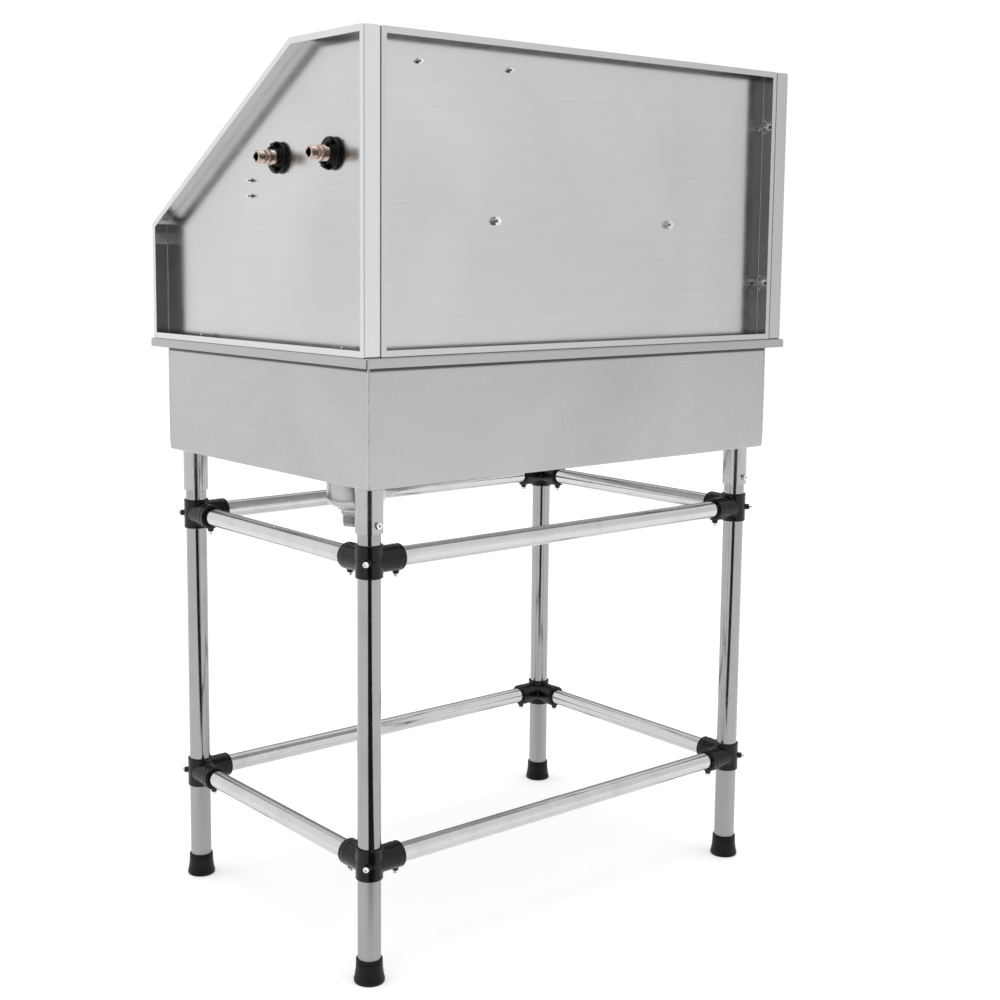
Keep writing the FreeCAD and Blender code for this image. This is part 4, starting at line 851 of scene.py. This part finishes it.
basin_low, basin_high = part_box("basin")
SEAM_X = 458.5 * MM
SEAM_Y = 312.5 * MM
SEAM_LOW = basin_low.z + 3 * MM
SEAM_HIGH = basin_high.z - 4 * MM
SEAM_WIDTH = 4.4 * MM
beads = []
for seam_x in (SEAM_X, -SEAM_X):
    for seam_y in (SEAM_Y, -SEAM_Y):
        beads.append(weld_bead("corner_bead", (seam_x, seam_y, SEAM_LOW), (seam_x, seam_y, SEAM_HIGH),
                               SEAM_WIDTH, 40))
place_piece(stacked("basin_corner_welds", beads), "tub", "basin_steel", WELD_STEEL)

SOCKET_BEAD_RADIUS = 22.9 * MM
SOCKET_BEAD = 1.4 * MM
SOCKET_BEAD_DROP = 0.9 * MM
for corner in CORNERS:
    leg = centre_of("leg_" + corner)
    where = Matrix.Translation((leg.x, leg.y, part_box("leg_socket_" + corner)[1].z - SOCKET_BEAD_DROP))
    bead = new_piece("socket_weld_" + corner,
                     ring_mesh(SOCKET_BEAD_RADIUS, SOCKET_BEAD, where, steps=72))
    bead.data.shade_smooth()
    place_piece(bead, "tub", "tube_steel", WELD_STEEL)

# where the sloping flange of a side panel is lapped over the upright one and spot-welded
TAB_LOW = 1.186
TAB_HIGH = 1.206
TAB_NEAR = 451.5 * MM
TAB_FAR = 478.5 * MM
FLANGE_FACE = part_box("right_splash_panel")[0].y + 1.2 * MM
TAB_BACK = FLANGE_FACE - 0.3 * MM
TAB_FRONT = FLANGE_FACE + 0.9 * MM
for name, inner, outer in (("right_lap_tab", TAB_NEAR, TAB_FAR), ("left_lap_tab", -TAB_FAR, -TAB_NEAR)):
    tab = bmesh.new()
    for vert in bmesh.ops.create_cube(tab, size=1)["verts"]:
        vert.co = Vector((outer if vert.co.x > 0 else inner, TAB_FRONT if vert.co.y > 0 else TAB_BACK,
                          TAB_HIGH if vert.co.z > 0 else TAB_LOW))
    tab_mesh = bpy.data.meshes.new(name)
    tab.to_mesh(tab_mesh)
    tab.free()
    plate = new_piece(name, tab_mesh)
    rounded = plate.modifiers.new("Rounded", "BEVEL")
    rounded.width = 0.5 * MM
    rounded.segments = 2
    place_piece(settle(plate), "tub", "panel_steel", TAB_STEEL)


# ---------------------------------------------------------------- studio

CAMERA_AT = Vector((1.78666, 2.16498, 1.17422))
VIEW_AZIMUTH = math.radians(218.4)
VIEW_DOWN = math.radians(6.98)
VIEW_ROLL = math.radians(0.31)

forward = Vector((math.sin(VIEW_AZIMUTH) * math.cos(VIEW_DOWN),
                  math.cos(VIEW_AZIMUTH) * math.cos(VIEW_DOWN), -math.sin(VIEW_DOWN)))
CAMERA_SIDE = math.atan2(-forward.y, -forward.x)
level_right = forward.cross(Vector((0, 0, 1))).normalized()
level_up = level_right.cross(forward)
right = math.cos(VIEW_ROLL) * level_right + math.sin(VIEW_ROLL) * level_up
up = math.cos(VIEW_ROLL) * level_up - math.sin(VIEW_ROLL) * level_right
camera = bpy.data.objects.new("camera", bpy.data.cameras.new("camera"))
camera.matrix_world = Matrix.Translation(CAMERA_AT) @ Matrix((right, up, -forward)).transposed().to_4x4()
camera.data.lens = 54.34
camera.data.sensor_width = 36
camera.data.shift_x = 0.0592
camera.data.shift_y = -0.0632
camera.data.clip_start = 0.05
bpy.context.scene.collection.objects.link(camera)
bpy.context.scene.camera = camera
bpy.context.scene.view_settings.view_transform = "Standard"

PAPER_RADIUS = 9.0
paper = bmesh.new()
bmesh.ops.create_circle(paper, cap_ends=True, segments=96, radius=PAPER_RADIUS)
floor_mesh = bpy.data.meshes.new("studio_floor")
paper.to_mesh(floor_mesh)
paper.free()
floor = bpy.data.objects.new("studio_floor", floor_mesh)
bpy.context.scene.collection.objects.link(floor)


def floor_paper():
    """White paper with a trace of mottling, lit a little from below so that it stays white."""
    material, new, links = start_material("floor_paper")
    place = new.new("ShaderNodeTexCoord")
    place.label = "Place on the paper"
    mottle = new.new("ShaderNodeTexNoise")
    mottle.label = "Mottling"
    tone = new.new("ShaderNodeValToRGB")
    tone.label = "Paper white"
    surface = new.new("ShaderNodeBsdfPrincipled")
    surface.label = "Paper"
    output = new.new("ShaderNodeOutputMaterial")
    output.label = "Surface"
    for node, x in ((place, -900), (mottle, -700), (tone, -460), (surface, -160), (output, 160)):
        node.location = (x, 0)
    mottle.inputs["Scale"].default_value = 1.5
    tone.color_ramp.elements[0].color = (0.93, 0.93, 0.93, 1)
    tone.color_ramp.elements[1].color = (0.96, 0.96, 0.96, 1)
    surface.inputs["Roughness"].default_value = 0.9
    surface.inputs["Specular IOR Level"].default_value = 0.1
    surface.inputs["Emission Color"].default_value = (1, 1, 1, 1)
    surface.inputs["Emission Strength"].default_value = 0.30
    links.new(place.outputs["Object"], mottle.inputs["Vector"])
    links.new(mottle.outputs["Fac"], tone.inputs["Fac"])
    links.new(tone.outputs["Color"], surface.inputs["Base Color"])
    links.new(surface.outputs["BSDF"], output.inputs["Surface"])
    return material


floor_mesh.materials.append(floor_paper())


MAT_NEAR = 0.80
MAT_FAR = 8.0
MAT_LIFT = 0.0005
MAT_ANGLES = [math.radians(a) for a in range(-12, 21, 4)]


def dark_mat():
    """A dark cloth before the stand that only reflections see: the polished tubes' dark stripe."""
    sector = bmesh.new()
    edges = []
    for reach in (MAT_NEAR, MAT_FAR):
        edges.append([sector.verts.new((reach * math.cos(CAMERA_SIDE + angle),
                                        reach * math.sin(CAMERA_SIDE + angle), MAT_LIFT))
                      for angle in MAT_ANGLES])
    near, far = edges
    for k in range(len(MAT_ANGLES) - 1):
        sector.faces.new((near[k], far[k], far[k + 1], near[k + 1]))
    mesh = bpy.data.meshes.new("dark_mat")
    sector.to_mesh(mesh)
    sector.free()
    cloth = bpy.data.objects.new("dark_mat", mesh)
    bpy.context.scene.collection.objects.link(cloth)
    cloth.visible_camera = False
    cloth.visible_diffuse = False
    cloth.visible_shadow = False
    mesh.materials.append(moulded_black("dark_cloth", 0.02, 0.9, 400, 0.1, dust=0.01, shine=0.05))


dark_mat()

# each stop is an angle from the camera's side, in degrees, and the grey of the wall there
WALL_STOPS = (
    (-180, 0.20), (-162, 0.35), (-147, 0.85), (-120, 1.0), (-60, 0.95), (-40, 0.85), (-22, 0.50),
    (-12, 0.14), (18, 0.09), (27, 0.32), (48, 0.60), (68, 0.98), (76, 1.0), (90, 0.76), (113, 0.85),
    (140, 0.70), (162, 0.35), (180, 0.20),
)


def studio_surroundings():
    """White walls with a dark stretch toward the camera and one opposite, as in a studio with flags."""
    world = bpy.data.worlds.new("studio")
    bpy.context.scene.world = world
    world.use_nodes = True
    new = world.node_tree.nodes
    links = world.node_tree.links
    new.clear()
    direction = new.new("ShaderNodeTexCoord")
    direction.label = "Direction"
    swing = new.new("ShaderNodeVectorRotate")
    swing.label = "Camera's side to +X"
    split = new.new("ShaderNodeSeparateXYZ")
    split.label = "Parts of the direction"
    around = new.new("ShaderNodeMath")
    around.label = "Angle round the object"
    share = new.new("ShaderNodeMapRange")
    share.label = "Angle as a share of the turn"
    walls = new.new("ShaderNodeValToRGB")
    walls.label = "Walls and flags"
    height = new.new("ShaderNodeMapRange")
    height.label = "Wall to ceiling"
    ceiling = new.new("ShaderNodeMix")
    ceiling.label = "Ceiling above the walls"
    seen = new.new("ShaderNodeLightPath")
    seen.label = "Seen or lighting"
    lighting = new.new("ShaderNodeBackground")
    lighting.label = "Studio as it lights"
    backdrop = new.new("ShaderNodeBackground")
    backdrop.label = "Backdrop as seen"
    choice = new.new("ShaderNodeMixShader")
    choice.label = "Backdrop or studio"
    output = new.new("ShaderNodeOutputWorld")
    output.label = "Surroundings"
    for node, x, y in ((direction, -1500, 0), (swing, -1320, 0), (split, -1140, 0), (around, -960, 60),
                       (share, -780, 60), (walls, -580, 60), (height, -780, -220), (ceiling, -280, 0),
                       (lighting, -40, 0), (backdrop, -40, -200), (seen, -40, 260), (choice, 200, 0),
                       (output, 400, 0)):
        node.location = (x, y)
    swing.rotation_type = "Z_AXIS"
    swing.inputs["Angle"].default_value = -CAMERA_SIDE
    around.operation = "ARCTAN2"
    share.inputs["From Min"].default_value = -math.pi
    share.inputs["From Max"].default_value = math.pi
    ramp = walls.color_ramp
    while len(ramp.elements) < len(WALL_STOPS):
        ramp.elements.new(0.5)
    for element, (angle, grey) in zip(ramp.elements, WALL_STOPS):
        element.position = (angle + 180) / 360
        element.color = (grey, grey, grey, 1)
    height.inputs["From Min"].default_value = 0.35
    height.inputs["From Max"].default_value = 0.75
    ceiling.data_type = "RGBA"
    ceiling.inputs["B"].default_value = (0.9, 0.9, 0.9, 1)
    lighting.inputs["Strength"].default_value = 1.12
    backdrop.inputs["Color"].default_value = (1, 1, 1, 1)
    backdrop.inputs["Strength"].default_value = 1.05
    links.new(direction.outputs["Generated"], swing.inputs["Vector"])
    links.new(swing.outputs["Vector"], split.inputs["Vector"])
    links.new(split.outputs["Y"], around.inputs[0])
    links.new(split.outputs["X"], around.inputs[1])
    links.new(around.outputs["Value"], share.inputs["Value"])
    links.new(share.outputs["Result"], walls.inputs["Fac"])
    links.new(split.outputs["Z"], height.inputs["Value"])
    links.new(height.outputs["Result"], ceiling.inputs["Factor"])
    links.new(walls.outputs["Color"], ceiling.inputs["A"])
    links.new(ceiling.outputs["Result"], lighting.inputs["Color"])
    links.new(seen.outputs["Is Camera Ray"], choice.inputs["Fac"])
    links.new(lighting.outputs["Background"], choice.inputs[1])
    links.new(backdrop.outputs["Background"], choice.inputs[2])
    links.new(choice.outputs["Shader"], output.inputs["Surface"])


studio_surroundings()


TUB_MIDDLE = Vector((0, 0, 0.9))


def soft_light(name, at, size, power):
    """A square soft box that faces the middle of the tub."""
    lamp = bpy.data.objects.new(name, bpy.data.lights.new(name, "AREA"))
    lamp.data.shape = "SQUARE"
    lamp.data.size = size
    lamp.data.energy = power
    lamp.location = at
    lamp.rotation_euler = (TUB_MIDDLE - Vector(at)).to_track_quat("-Z", "Y").to_euler()
    bpy.context.scene.collection.objects.link(lamp)


soft_light("top_light", (0.3, 0.3, 4.2), 3.0, 26)
